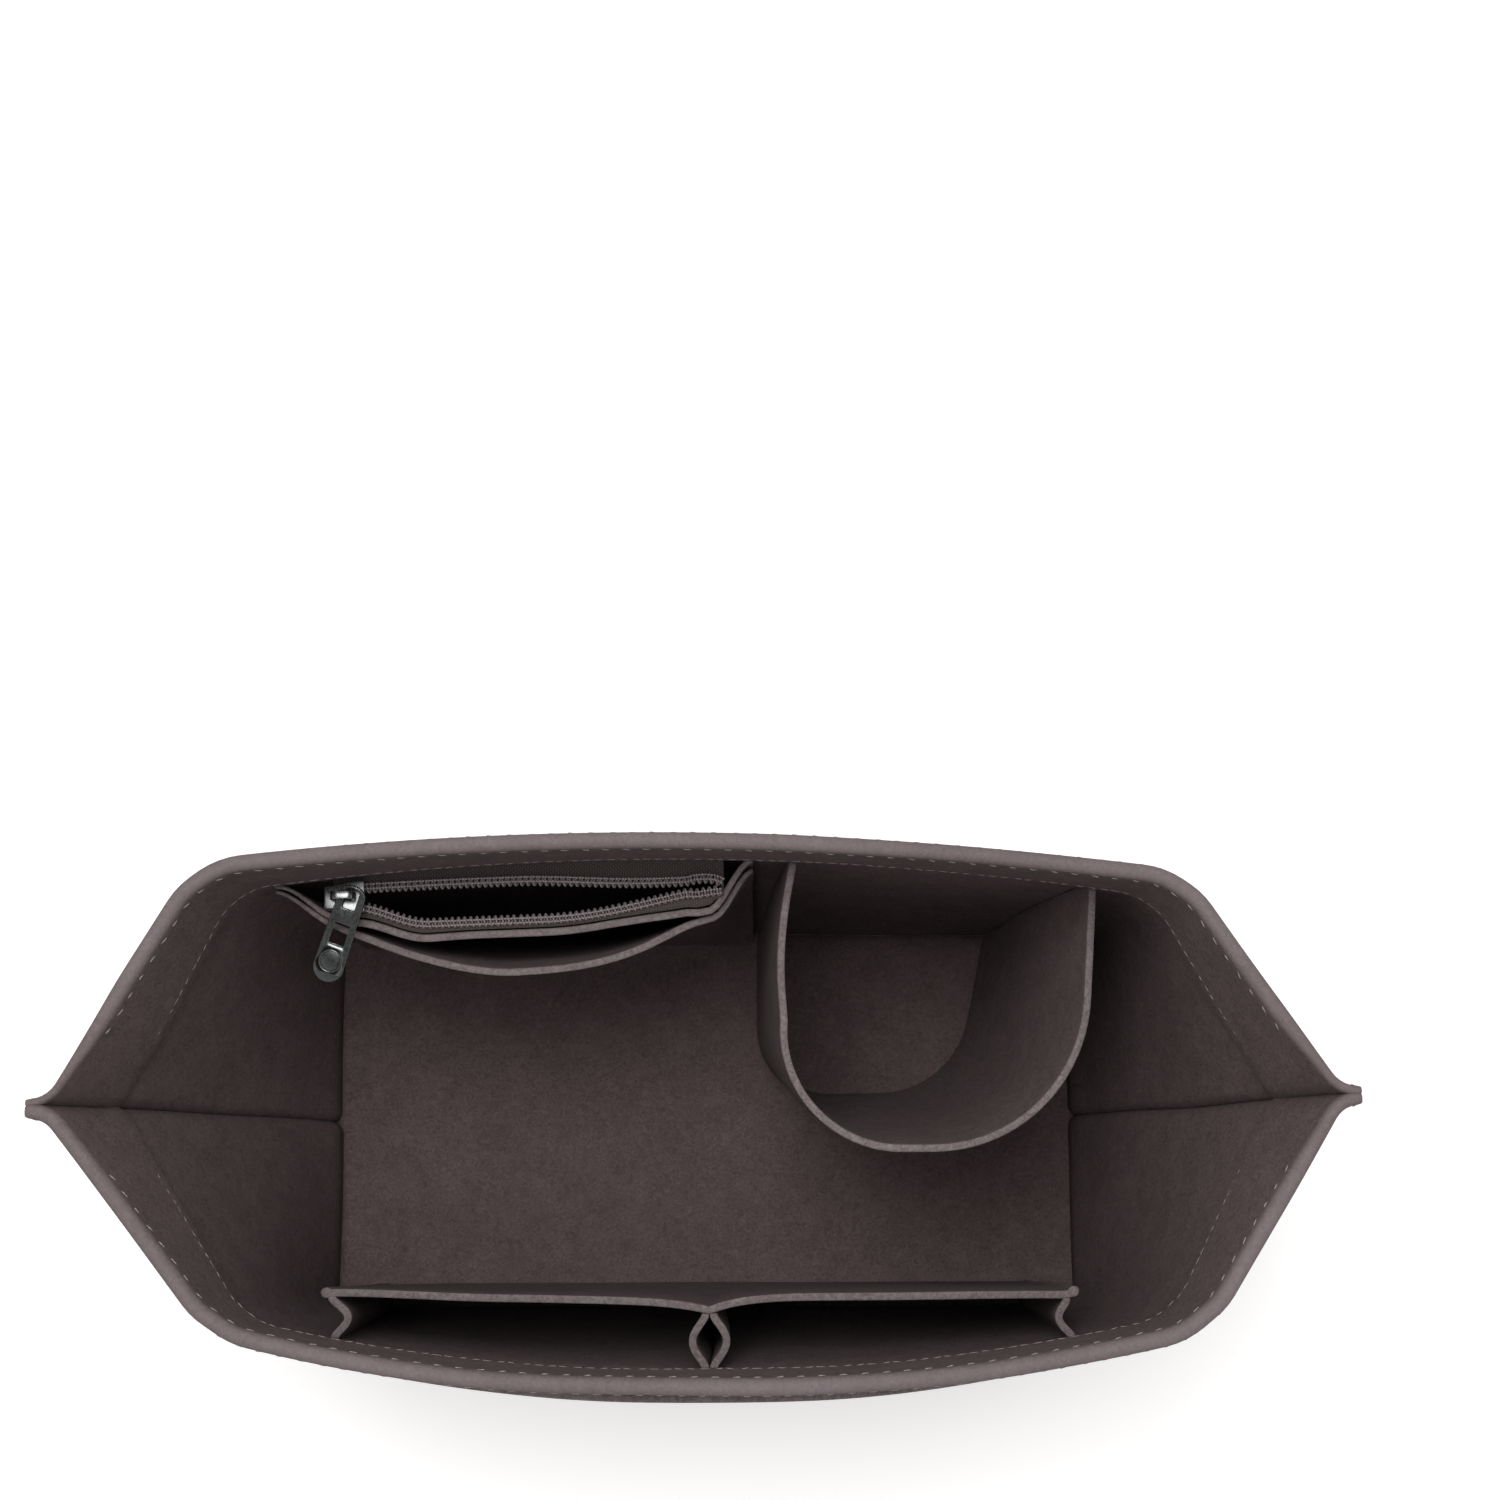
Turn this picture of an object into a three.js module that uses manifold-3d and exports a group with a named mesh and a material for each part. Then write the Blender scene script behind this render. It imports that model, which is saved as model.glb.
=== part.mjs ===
// Felt handbag insert: an open tray with sewn pockets, lengths in millimetres, +Z up.
// The origin is the middle of the floor's underside, +X runs to the right end, +Y to the back wall.

import * as THREE from 'three';
import { mergeVertices } from 'three/addons/utils/BufferGeometryUtils.js';
import Module from 'manifold-3d';

const wasm = await Module();
wasm.setup();

// Felt sheet, and the clearance between sheets that lie on each other
const felt = 2.2;
const gap = 0.3;

// Floor: a flat rectangle whose long edges fold up into the walls
const floorLength = 250;
const floorDepth = 125;
const floorFoldRadius = 8;
const floorSeamAllowance = 7;

// Walls: they open from the floor's rectangle to a six-sided rim with a pinched tip at each end
const height = 165;
const rimCornerLength = 274;
const rimCornerDepth = 126;
const rimTipLength = 360;
const floorCornerRadius = 5;
const rimCornerRadius = 22;
const backRimBow = 9.3;
const frontRimBow = 15.6;
const backBulgeShare = 0.3;
const frontBulgeShare = 0;
const backBowPower = 2;
const frontBowPower = 2.3;
const backLeftLean = [-3, 4];
const backRightLean = [2, -1];
const frontLeftLean = [6, 1.6];
const frontRightLean = [4, 0.3];
const floorTipRadius = 3;
const rimTipRadius = 7;
const tipAllowance = 4.5;

// Hem: the top of each wall turned inwards and stitched down
const hemWidth = 33;
const seamSpreadLength = 10;

// Outer slip pocket on the front wall
const outerPocketLeft = -91;
const outerPocketRight = 100;
const outerPocketBottom = 22;
const outerPocketDrop = 30;
const outerPocketTop = height - outerPocketDrop;
const outerPocketSlack = 1.8;

// Zip pocket on the back wall with an open slip pocket in front, sewn down together
const backPocketInset = 8;
const backPocketFlare = 8.5;
const backPocketBottomLeft = backPocketInset - floorLength / 2;
const backPocketTopLeft = backPocketBottomLeft - backPocketFlare;
const backPocketRight = 17;
const backPocketBottom = 14;
const zipBelowHem = 5;
const zipHeight = height - hemWidth - zipBelowHem;
const slipBelowZip = 5;
const slipTop = zipHeight - slipBelowZip;
const slipSlack = 32.7;
const zipPocketLeftRamp = 20;
const zipPocketRightRamp = 15;

// Zip: a nylon coil on each tape, drawn to the slider's straight path
const zipInset = 18;
const zipLeft = backPocketTopLeft + zipInset;
const sliderStart = 3.9;
const sliderX = zipLeft + sliderStart;
const sliderSetback = 7.7;
const zipTurn = THREE.MathUtils.degToRad(1.76);
const zipRight = 4;
const zipFrontBow = 8.4;
const zipBackBow = 1;
const zipBackEndSpread = 0.6;
const zipFrontRiseLength = 40;
const zipFrontFlatLength = 19;
const zipFrontFallLength = 59;
const zipSpread = 1.5;
const zipSpreadStart = -4;
const zipSpreadLength = 7;
const zipSeamAtSlider = 7;
const zipSeamBeyond = 5.4;
const tape = 0.5;
const tapeBend = 1.2;
const tapeDrop = 9;
const tapeReach = 2.7;
const coilWidth = 3;
const coilHeight = 2;
const coilPitch = 1.7;
const coilWire = 0.5;
const coilOverlap = 1.3;

// Slider: two plates joined by a post, with flanges over the coils and an arched bridge
const sliderLength = 12;
const sliderPlate = 1;
const sliderFlange = 0.5;
const sliderSlit = 0.45;
const sliderPostWidth = 0.8;
const sliderPostLength = 3.4;
const bridgeLength = 7;
const bridgeWidth = 2.6;
const bridgeStrip = 0.9;
const bridgeRise = 4.6;
const springStrip = 0.3;
const springWidth = 1.4;
const springBend = 1.2;

// Puller: a flat tab whose eye is linked through the bridge
const pullerLength = 27;
const pullerHeadWidth = 8.2;
const pullerFootWidth = 9.4;
const pullerPlate = 1.2;
const pullerEyeWidth = 4.1;
const pullerEyeBack = 1.95;
const pullerEyeFront = 4.3;
const pullerBar = 1;
const pullerWindowWidth = 4.7;
const pullerWindowLength = 6.2;
const pullerWindowStart = 9;
const pullerBossRadius = 3.6;
const pullerBossRise = 0.6;
const pullerBossCentre = 20.5;
const pullerPivotX = 2.8;
const pullerPivotRise = 2.3;
const pullerYaw = THREE.MathUtils.degToRad(-22);
const pullerDroop = THREE.MathUtils.degToRad(15);

// Bottle loop: one strip of felt stood up in a U against the back wall
const loopDrop = 35;
const loopTop = height - loopDrop;
const loopRightInset = 27;
const loopRightFlare = 20;
const loopFrontInset = 9;
const loopTopFrontInset = 5;
const loopTopLeft = 24.5;
const loopDepth = 55.5;
const loopFrontFlare = 19.3;
const loopTopRadius = 43;
const loopBottomLeft = 19.4;
const loopBottomRight = floorLength / 2 - loopRightInset;
const loopBottomFrontRight = loopBottomRight - loopFrontInset;
const loopTopRight = loopBottomRight + loopRightFlare;
const loopTopFrontRight = loopTopRight - loopTopFrontInset;
const loopBottomFront = floorDepth / 2 - loopDepth;
const loopTopFront = loopBottomFront - loopFrontFlare;
const loopBottomRadius = 20;

// Front pockets: one long panel held off the front wall by four gussets
const frontPanelDrop = 47;
const frontPanelTop = height - frontPanelDrop;
const frontPanelLeftInset = 15;
const frontPanelRightInset = 14;
const frontPanelLeft = frontPanelLeftInset - floorLength / 2;
const frontPanelRight = floorLength / 2 - frontPanelRightInset;
const frontPanelFootInset = 6.2;
const frontPanelLean = 1.3;
const frontPanelFoot = frontPanelFootInset - floorDepth / 2;
const frontPanelY = frontPanelFoot + frontPanelLean;
const frontPanelDip = 5;
const dividerX = 3.6;
const dividerLeftReach = 20;
const dividerRightReach = 10;
const leftGussetInset = 3.3;
const rightGussetInset = 3.7;
const gussetLip = 0.6;
const leftGussetBulge = 4.2;
const rightGussetBulge = 3;
const dividerBulge = 3.8;

// Facet counts
const straightSteps = 14;
const cornerSteps = 4;
const foldSteps = 6;
const tipSteps = 3;
const wallSteps = 6;
const rimFoldSteps = 4;
const panelColumns = 22;
const panelRows = 5;
const tapeColumns = 30;
const gussetColumns = 6;
const loopSteps = 9;
const wireSides = 4;
const roundSteps = 24;

const feltMaterial = new THREE.MeshStandardMaterial({ color: 0x5b514f, roughness: 0.95, metalness: 0 });
const tapeMaterial = new THREE.MeshStandardMaterial({ color: 0x5f5553, roughness: 0.85, metalness: 0 });
const coilMaterial = new THREE.MeshStandardMaterial({ color: 0x7a6f6c, roughness: 0.5, metalness: 0 });
const gunmetal = new THREE.MeshStandardMaterial({ color: 0x3f4345, roughness: 0.35, metalness: 1 });
const brightNickel = new THREE.MeshStandardMaterial({ color: 0x8f9496, roughness: 0.2, metalness: 1 });

const insert = new THREE.Group();

const lerp = THREE.MathUtils.lerp;
const smooth = THREE.MathUtils.smoothstep;

function addNode(parent, name, geometry, material) {
  const mesh = new THREE.Mesh(geometry, material);
  mesh.name = name;
  parent.add(mesh);
}

function toSolid(geometry) {
  const bare = geometry.clone();
  bare.deleteAttribute('normal');
  bare.deleteAttribute('uv');
  const merged = mergeVertices(bare);
  return new wasm.Manifold(new wasm.Mesh({
    numProp: 3,
    vertProperties: new Float32Array(merged.attributes.position.array),
    triVerts: new Uint32Array(merged.index.array),
  }));
}

function toGeometry(solid) {
  const mesh = solid.getMesh();
  const geometry = new THREE.BufferGeometry();
  geometry.setAttribute('position', new THREE.BufferAttribute(mesh.vertProperties, mesh.numProp));
  geometry.setIndex(new THREE.BufferAttribute(mesh.triVerts, 1));
  return geometry;
}

// Unit normal of a grid of points, from its neighbours along the row and across the rows
function gridNormal(rows, i, j) {
  const last = rows.length - 1;
  const end = rows[i].length - 1;
  const along = rows[i][Math.min(j + 1, end)].clone().sub(rows[i][Math.max(j - 1, 0)]);
  const across = rows[Math.min(i + 1, last)][j].clone().sub(rows[Math.max(i - 1, 0)][j]);
  return along.cross(across).normalize();
}

// A sheet of even thickness on both sides of a grid of points, closed round its edges
function sheetSolid(rows, thickness) {
  const rowCount = rows.length;
  const columnCount = rows[0].length;
  const positions = [];
  for (const side of [1, -1]) {
    for (let i = 0; i < rowCount; i++) {
      for (let j = 0; j < columnCount; j++) {
        const shift = gridNormal(rows, i, j).multiplyScalar(side * thickness / 2);
        positions.push(...rows[i][j].clone().add(shift).toArray());
      }
    }
  }
  const index = [];
  const at = (face, i, j) => (face * rowCount + i) * columnCount + j;
  const quad = (a, b, c, d) => index.push(a, b, c, a, c, d);
  const bottom = rowCount - 1;
  const right = columnCount - 1;
  for (let i = 0; i < bottom; i++) {
    for (let j = 0; j < right; j++) {
      quad(at(0, i, j), at(0, i, j + 1), at(0, i + 1, j + 1), at(0, i + 1, j));
      quad(at(1, i, j), at(1, i + 1, j), at(1, i + 1, j + 1), at(1, i, j + 1));
    }
    quad(at(0, i, 0), at(0, i + 1, 0), at(1, i + 1, 0), at(1, i, 0));
    quad(at(0, i, right), at(1, i, right), at(1, i + 1, right), at(0, i + 1, right));
  }
  for (let j = 0; j < right; j++) {
    quad(at(0, 0, j), at(1, 0, j), at(1, 0, j + 1), at(0, 0, j + 1));
    quad(at(0, bottom, j), at(0, bottom, j + 1), at(1, bottom, j + 1), at(1, bottom, j));
  }
  const geometry = new THREE.BufferGeometry();
  geometry.setAttribute('position', new THREE.Float32BufferAttribute(positions, 3));
  geometry.setIndex(index);
  return geometry;
}

// Evenly spaced values from first to last
function spaced(first, last, steps) {
  return Array.from({ length: steps + 1 }, (_, k) => lerp(first, last, k / steps));
}

// Points of the arc that rounds the corner between two straight runs
function roundCorner(before, corner, after, radius, steps) {
  const into = before.clone().sub(corner).normalize();
  const out = after.clone().sub(corner).normalize();
  const half = into.angleTo(out) / 2;
  const middle = into.clone().add(out).normalize().multiplyScalar(radius / Math.sin(half)).add(corner);
  const first = into.clone().multiplyScalar(radius / Math.tan(half)).add(corner).sub(middle);
  const last = out.clone().multiplyScalar(radius / Math.tan(half)).add(corner).sub(middle);
  const turn = first.angleTo(last);
  return spaced(0, 1, steps).map((share) => {
    const a = Math.sin((1 - share) * turn) / Math.sin(turn);
    const b = Math.sin(share * turn) / Math.sin(turn);
    return first.clone().multiplyScalar(a).addScaledVector(last, b).add(middle);
  });
}

// Body walls

const hemShift = felt + gap;
const rimFoldRadius = hemShift / 2;
const rimFoldBase = height - rimFoldRadius - felt / 2;
const hemEdge = height - hemWidth;
const foldTop = felt / 2 + floorFoldRadius;
const foldEdge = foldTop + gap;
const sides = {
  back: {
    sign: 1,
    leans: [backLeftLean, backRightLean],
    bow: backRimBow,
    bowPower: backBowPower,
    bulgeShare: backBulgeShare,
  },
  front: {
    sign: -1,
    leans: [frontLeftLean, frontRightLean],
    bow: frontRimBow,
    bowPower: frontBowPower,
    bulgeShare: frontBulgeShare,
  },
};

// Half the distance between the two walls' middle surfaces in the end seam, wider where the hem is sewn in
function seamOffset(z) {
  const spread = smooth(z, hemEdge - seamSpreadLength, hemEdge);
  return (felt + gap) / 2 + hemShift * spread;
}

// Share of the way from the floor's fold up to the rim's fold
function riseAt(z) {
  return THREE.MathUtils.clamp((z - foldTop) / (rimFoldBase - foldTop), 0, 1);
}

// Share of the rim's bow at a height, in straight runs between the wall's rows
function bowShareAt(side, z) {
  const level = riseAt(z) * wallSteps;
  const row = Math.floor(level);
  const curve = (rise) => 1 - (1 - rise) ** 2 + side.bulgeShare * 4 * rise * (1 - rise);
  return lerp(curve(row / wallSteps), curve((row + 1) / wallSteps), level - row);
}

// The wall's corners in plan at a height, without their rounding
function wallCorners(side, z) {
  const rise = riseAt(z);
  const halfLength = lerp(floorLength + felt, rimCornerLength, rise) / 2;
  const halfDepth = lerp(floorDepth + felt, rimCornerDepth, rise) / 2;
  const [left, right] = side.leans;
  return [
    new THREE.Vector2(left[0] * rise - halfLength, left[1] * rise + side.sign * halfDepth),
    new THREE.Vector2(right[0] * rise + halfLength, right[1] * rise + side.sign * halfDepth),
  ];
}

// How far the wall's middle surface stands out from the straight line between its corners
function wallBow(side, x, z) {
  const [left, right] = wallCorners(side, z);
  const share = THREE.MathUtils.clamp(2 * (x - left.x) / (right.x - left.x) - 1, -1, 1);
  return side.sign * side.bow * bowShareAt(side, z) * (1 - Math.abs(share) ** side.bowPower);
}

// Inner face of a long wall, away from its rounded corners
function wallFace(side, x, z) {
  const [left, right] = wallCorners(side, z);
  const straight = lerp(left.y, right.y, (x - left.x) / (right.x - left.x));
  return straight + wallBow(side, x, z) - side.sign * felt / 2;
}

// One half of the body in plan at a height, from the left tip round to the right tip
function wallSection(side, z) {
  const [left, right] = wallCorners(side, z);
  const tip = lerp(floorLength + felt, rimTipLength, riseAt(z)) / 2;
  const seam = side.sign * seamOffset(z);
  const ends = [-tip - tipAllowance, -tip, tip, tip + tipAllowance];
  const tips = ends.map((x) => new THREE.Vector2(x, seam));
  const radius = lerp(floorCornerRadius, rimCornerRadius, riseAt(z));
  const tipRadius = lerp(floorTipRadius, rimTipRadius, riseAt(z));
  const leftArc = roundCorner(tips[1], left, right, radius, cornerSteps);
  const rightArc = roundCorner(left, right, tips[2], radius, cornerSteps);
  const shares = spaced(0, 1, straightSteps).slice(1, -1);
  const run = shares.map((share) => leftArc.at(-1).clone().lerp(rightArc[0], share));
  const points = [
    tips[0],
    ...roundCorner(tips[0], tips[1], left, tipRadius, tipSteps),
    ...leftArc,
    ...run,
    ...rightArc,
    ...roundCorner(right, tips[2], tips[3], tipRadius, tipSteps),
    tips[3],
  ];
  return points.map(({ x, y }) => new THREE.Vector2(x, y + wallBow(side, x, z)));
}

// The same line moved towards the inside of the bag
function insetSection(side, z, inset) {
  const points = wallSection(side, z);
  return points.map((point, j) => {
    const next = points[Math.min(j + 1, points.length - 1)];
    const along = next.clone().sub(points[Math.max(j - 1, 0)]).normalize();
    return new THREE.Vector2(point.x + side.sign * along.y * inset, point.y - side.sign * along.x * inset);
  });
}

function wallRow(side, z, inset) {
  return insetSection(side, z, inset).map((point) => new THREE.Vector3(point.x, point.y, z));
}

// Ends stand on the floor, the long wall starts where the floor's fold ends
const wallFoot = felt + 2 * gap;

function wallFootRow(side) {
  const low = wallRow(side, wallFoot, 0);
  const high = wallRow(side, foldEdge + gap, 0);
  const firstRaised = tipSteps + cornerSteps + 3;
  return low.map((point, j) => (j >= firstRaised && j <= low.length - 1 - firstRaised ? high[j] : point));
}

function wallGeometry(side) {
  const rows = [wallFootRow(side)];
  for (const z of spaced(foldTop, rimFoldBase, wallSteps).slice(1)) {
    rows.push(wallRow(side, z, 0));
  }
  for (const turn of spaced(0, Math.PI, rimFoldSteps).slice(1)) {
    const inset = rimFoldRadius * (1 - Math.cos(turn));
    const z = rimFoldBase + rimFoldRadius * Math.sin(turn);
    rows.push(wallRow(side, z, inset));
  }
  rows.push(wallRow(side, hemEdge, hemShift));
  return sheetSolid(side.sign > 0 ? rows : rows.reverse(), felt);
}

function addWalls() {
  addNode(insert, 'body_back_half', wallGeometry(sides.back), feltMaterial);
  addNode(insert, 'body_front_half', wallGeometry(sides.front), feltMaterial);
}

// Floor

function floorGeometry() {
  const middleDepth = (floorDepth + felt) / 2;
  const straightHalf = floorLength / 2 - floorCornerRadius;
  const foldHalf = straightHalf - 2 * straightHalf / straightSteps - gap;
  const foldCentre = middleDepth - floorFoldRadius;
  const turns = spaced(0, Math.PI / 2, foldSteps);
  const fold = turns.map((turn) => [
    foldCentre + floorFoldRadius * Math.cos(turn),
    foldTop - floorFoldRadius * Math.sin(turn),
  ]);
  fold.unshift([middleDepth, foldEdge]);
  const profile = [...fold.map(([y, z]) => [-y, z]), ...fold.reverse()];
  const rows = [foldHalf, -foldHalf].map((x) => profile.map(([y, z]) => new THREE.Vector3(x, y, z)));
  const folded = toSolid(sheetSolid(rows, felt));
  const endHalf = floorLength / 2 + felt + floorSeamAllowance;
  const outline = new THREE.Shape();
  outline.moveTo(-endHalf, -middleDepth);
  outline.lineTo(-foldHalf, -middleDepth);
  outline.lineTo(-foldHalf, -foldCentre);
  outline.lineTo(foldHalf, -foldCentre);
  outline.lineTo(foldHalf, -middleDepth);
  outline.lineTo(endHalf, -middleDepth);
  outline.lineTo(endHalf, middleDepth);
  outline.lineTo(foldHalf, middleDepth);
  outline.lineTo(foldHalf, foldCentre);
  outline.lineTo(-foldHalf, foldCentre);
  outline.lineTo(-foldHalf, middleDepth);
  outline.lineTo(-endHalf, middleDepth);
  const flat = toSolid(new THREE.ExtrudeGeometry(outline, { depth: felt, bevelEnabled: false }));
  return toGeometry(folded.add(flat));
}

// Panels sewn on the long walls

// A panel over a wall: span(z) gives its two ends, place(x, z) its middle surface
function panelGeometry(span, bottom, top, place) {
  const rows = panelLevels(bottom, top).map((z) => {
    const [left, right] = span(z);
    return spaced(left, right, panelColumns).map((x) => new THREE.Vector3(x, place(x, z), z));
  });
  return sheetSolid(rows.reverse(), felt);
}

// The wall's own rows between two heights, so that a panel bends where the wall does
function panelLevels(bottom, top) {
  const inner = spaced(foldTop, rimFoldBase, wallSteps).filter((z) => z > bottom + felt && z < top - felt);
  return [bottom, ...inner, top];
}

// Distance along Y that keeps a surface at a true distance from a sloping one
function slantShift(place, x, z, distance) {
  const slope = (place(x + felt, z) - place(x - felt, z)) / (2 * felt);
  return distance * Math.hypot(1, slope);
}

const panelStandoff = felt / 2 + gap;

function outerPocketY(x, z) {
  const outside = wallFace(sides.front, x, z) - felt;
  const share = 2 * (x - outerPocketLeft) / (outerPocketRight - outerPocketLeft) - 1;
  const lift = (z - outerPocketBottom) / (outerPocketTop - outerPocketBottom);
  return outside - panelStandoff - gap - outerPocketSlack * lift * (1 - share * share);
}

// The two back pockets' ends at a height
function backPocketSpan(z) {
  const lift = (z - backPocketBottom) / (zipHeight - backPocketBottom);
  return [lerp(backPocketBottomLeft, backPocketTopLeft, lift), backPocketRight];
}

function slipPocketY(x, z) {
  const [left, right] = backPocketSpan(z);
  const share = 2 * (x - left) / (right - left) - 1;
  const lift = (z - backPocketBottom) / (slipTop - backPocketBottom);
  const onWall = wallFace(sides.back, x, z) - panelStandoff;
  const free = onWall - slipSlack * (1 - share * share) * lift;
  return Math.min(free, zipPanelY(x, z) - slantShift(zipPanelY, x, z, felt + 2 * gap));
}

// Plan lines of the two coils, measured from the slider's straight path

const sliderY = wallFace(sides.back, sliderX, zipHeight) - sliderSetback;

function slidePathY(x) {
  return sliderY + Math.tan(zipTurn) * (x - sliderX);
}

function spreadAt(x) {
  return smooth(x - sliderX, zipSpreadStart, zipSpreadStart + zipSpreadLength);
}

function frontLineY(x) {
  const run = x - sliderX;
  const fallStart = zipFrontRiseLength + zipFrontFlatLength;
  const rest = 1 - smooth(run, fallStart, fallStart + zipFrontFallLength);
  const bowed = smooth(run, sliderLength / 2, zipFrontRiseLength) * rest;
  const opened = spreadAt(x) * (1 - bowed) * rest;
  return slidePathY(x) - zipFrontBow * bowed - zipSpread * opened;
}

function backLineY(x) {
  const share = THREE.MathUtils.clamp((x - sliderX) / (zipRight - sliderX), 0, 1);
  const bowed = zipBackBow * 4 * share * (1 - share);
  return slidePathY(x) + spreadAt(x) * (lerp(zipSpread, zipBackEndSpread, share) + bowed);
}

function zipPanelY(x, z) {
  const [left, right] = backPocketSpan(z);
  const lift = (z - backPocketBottom) / (zipPanelTop - backPocketBottom);
  const onWall = wallFace(sides.back, x, z) - panelStandoff;
  const leftRamp = smooth(x, left, left + zipPocketLeftRamp);
  const rightRamp = 1 - smooth(x, right - zipPocketRightRamp, right);
  const seam = lerp(zipSeamAtSlider, zipSeamBeyond, smooth(x - sliderX, sliderLength, zipFrontRiseLength));
  return lerp(onWall, frontLineY(x) - seam, lift * leftRamp * rightRamp);
}

const zipPanelTop = zipHeight - tape / 2 - gap;

function addWallPanels() {
  const outerSpan = () => [outerPocketLeft, outerPocketRight];
  const outer = panelGeometry(outerSpan, outerPocketBottom, outerPocketTop, outerPocketY);
  addNode(insert, 'outer_pocket_panel', outer, feltMaterial);
  const slip = panelGeometry(backPocketSpan, backPocketBottom, slipTop, slipPocketY);
  addNode(insert, 'slip_pocket_panel', slip, feltMaterial);
  const zip = panelGeometry(backPocketSpan, backPocketBottom, zipPanelTop, zipPanelY);
  addNode(insert, 'zip_pocket_panel', zip, feltMaterial);
}

// Zip tapes: flat beside the coil, then bent down inside the felt panel or up against the back wall

function tapeGeometry(sign, lineY, carrierY, turnedEdge) {
  const rows = [[], [], [], [], []];
  const bend = Math.sign(turnedEdge - zipHeight) * tapeBend;
  for (const x of spaced(zipLeft, zipRight, tapeColumns)) {
    const inner = lineY(x) + sign * gap;
    const beside = sign * tapeReach + lineY(x);
    const carrier = carrierY(x, zipHeight);
    const bendStart = sign * Math.max(sign * (carrier - sign * tapeBend), sign * beside + gap);
    const places = [
      [inner, zipHeight],
      [beside, zipHeight],
      [bendStart, zipHeight],
      [carrier, zipHeight + bend],
      [carrierY(x, turnedEdge), turnedEdge],
    ];
    places.forEach(([y, z], i) => rows[i].push(new THREE.Vector3(x, y, z)));
  }
  return sheetSolid(rows, tape);
}

function addTapes() {
  const backCarrier = (x, z) => wallFace(sides.back, x, z) - gap - tape / 2;
  addNode(insert, 'zip_tape_back', tapeGeometry(1, backLineY, backCarrier, hemEdge - gap), tapeMaterial);
  const frontCarrier = (x, z) => {
    const level = Math.min(z, zipPanelTop);
    return zipPanelY(x, level) + slantShift(zipPanelY, x, level, (felt + tape) / 2 + 2 * gap);
  };
  const front = tapeGeometry(-1, frontLineY, frontCarrier, zipHeight - tapeDrop);
  addNode(insert, 'zip_tape_front', front, tapeMaterial);
}

// Zip coils: one unbroken monofilament each, with the heads of the two coils set half a pitch apart

// Along the tape, across towards the other coil, and up, as shares of pitch, width and height
const coilTurnShares = [
  [0, 0.1, 0],
  [0, 0.85, 0],
  [0, 1, 0.5],
  [0, 0.85, 1],
  [0, 0.1, 1],
  [0.5, 0, 0.5],
];

function tubeSolid(points, guide, radius, sideCount) {
  const positions = [];
  const index = [];
  const last = points.length - 1;
  points.forEach((point, k) => {
    const along = points[Math.min(k + 1, last)].clone().sub(points[Math.max(k - 1, 0)]).normalize();
    const out = guide.clone().addScaledVector(along, -guide.dot(along)).normalize();
    const up = along.clone().cross(out);
    for (let s = 0; s < sideCount; s++) {
      const angle = 2 * Math.PI * (s + 0.5) / sideCount;
      const spot = point.clone().addScaledVector(out, radius * Math.cos(angle));
      positions.push(...spot.addScaledVector(up, radius * Math.sin(angle)).toArray());
    }
  });
  for (let k = 0; k < last; k++) {
    for (let s = 0; s < sideCount; s++) {
      const a = k * sideCount + s;
      const b = k * sideCount + (s + 1) % sideCount;
      index.push(a, b, b + sideCount, a, b + sideCount, a + sideCount);
    }
  }
  for (let s = 1; s < sideCount - 1; s++) {
    index.push(0, s + 1, s);
    index.push(last * sideCount, last * sideCount + s, last * sideCount + s + 1);
  }
  const geometry = new THREE.BufferGeometry();
  geometry.setAttribute('position', new THREE.Float32BufferAttribute(positions, 3));
  geometry.setIndex(index);
  return geometry;
}

function coilPoints(sign, lineY, start) {
  const turns = Math.floor((zipRight - start) / coilPitch);
  const heel = coilWidth - coilOverlap / 2;
  const bottom = zipHeight + tape / 2 + gap + coilWire / 2;
  const points = [];
  for (let k = 0; k < turns; k++) {
    for (const [alongShare, acrossShare, upShare] of coilTurnShares) {
      const x = start + (k + alongShare) * coilPitch;
      const y = lineY(x) + sign * (heel - coilWidth * acrossShare);
      points.push(new THREE.Vector3(x, y, bottom + (coilHeight - coilWire) * upShare));
    }
  }
  return points;
}

function addCoils() {
  const guide = new THREE.Vector3(1, 0, 0);
  const front = coilPoints(-1, frontLineY, zipLeft + coilPitch);
  const back = coilPoints(1, backLineY, zipLeft + coilPitch / 2);
  addNode(insert, 'zip_coil_front', tubeSolid(front, guide, coilWire / 2, wireSides), coilMaterial);
  addNode(insert, 'zip_coil_back', tubeSolid(back, guide, coilWire / 2, wireSides), coilMaterial);
}

// Slider, in its own frame: +X towards the mouth, zero height in the tape's middle

const channelBottom = -tape / 2 - sliderSlit;
const channelTop = tape / 2 + gap + coilHeight + sliderSlit;
const sliderTop = channelTop + sliderPlate;
const heelReach = coilWidth - coilOverlap / 2 + coilWire;
const tailHalf = heelReach + sliderFlange;
const mouthHalf = heelReach + zipSpread + sliderFlange;

// Plan of a slider plate: parallel at the tail, flared to the mouth, all edges rounded
function platePlan(inset) {
  const half = sliderLength / 2;
  const tail = tailHalf - inset;
  const mouth = mouthHalf - inset;
  const plan = new THREE.Shape();
  plan.moveTo(-half, -tail);
  plan.bezierCurveTo(-half / 3, -tail, 0, -mouth, half - sliderPlate, -mouth);
  plan.quadraticCurveTo(half, -mouth, half, -mouth + sliderPlate);
  plan.lineTo(half, mouth - sliderPlate);
  plan.quadraticCurveTo(half, mouth, half - sliderPlate, mouth);
  plan.bezierCurveTo(0, mouth, -half / 3, tail, -half, tail);
  plan.closePath();
  return plan;
}

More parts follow.
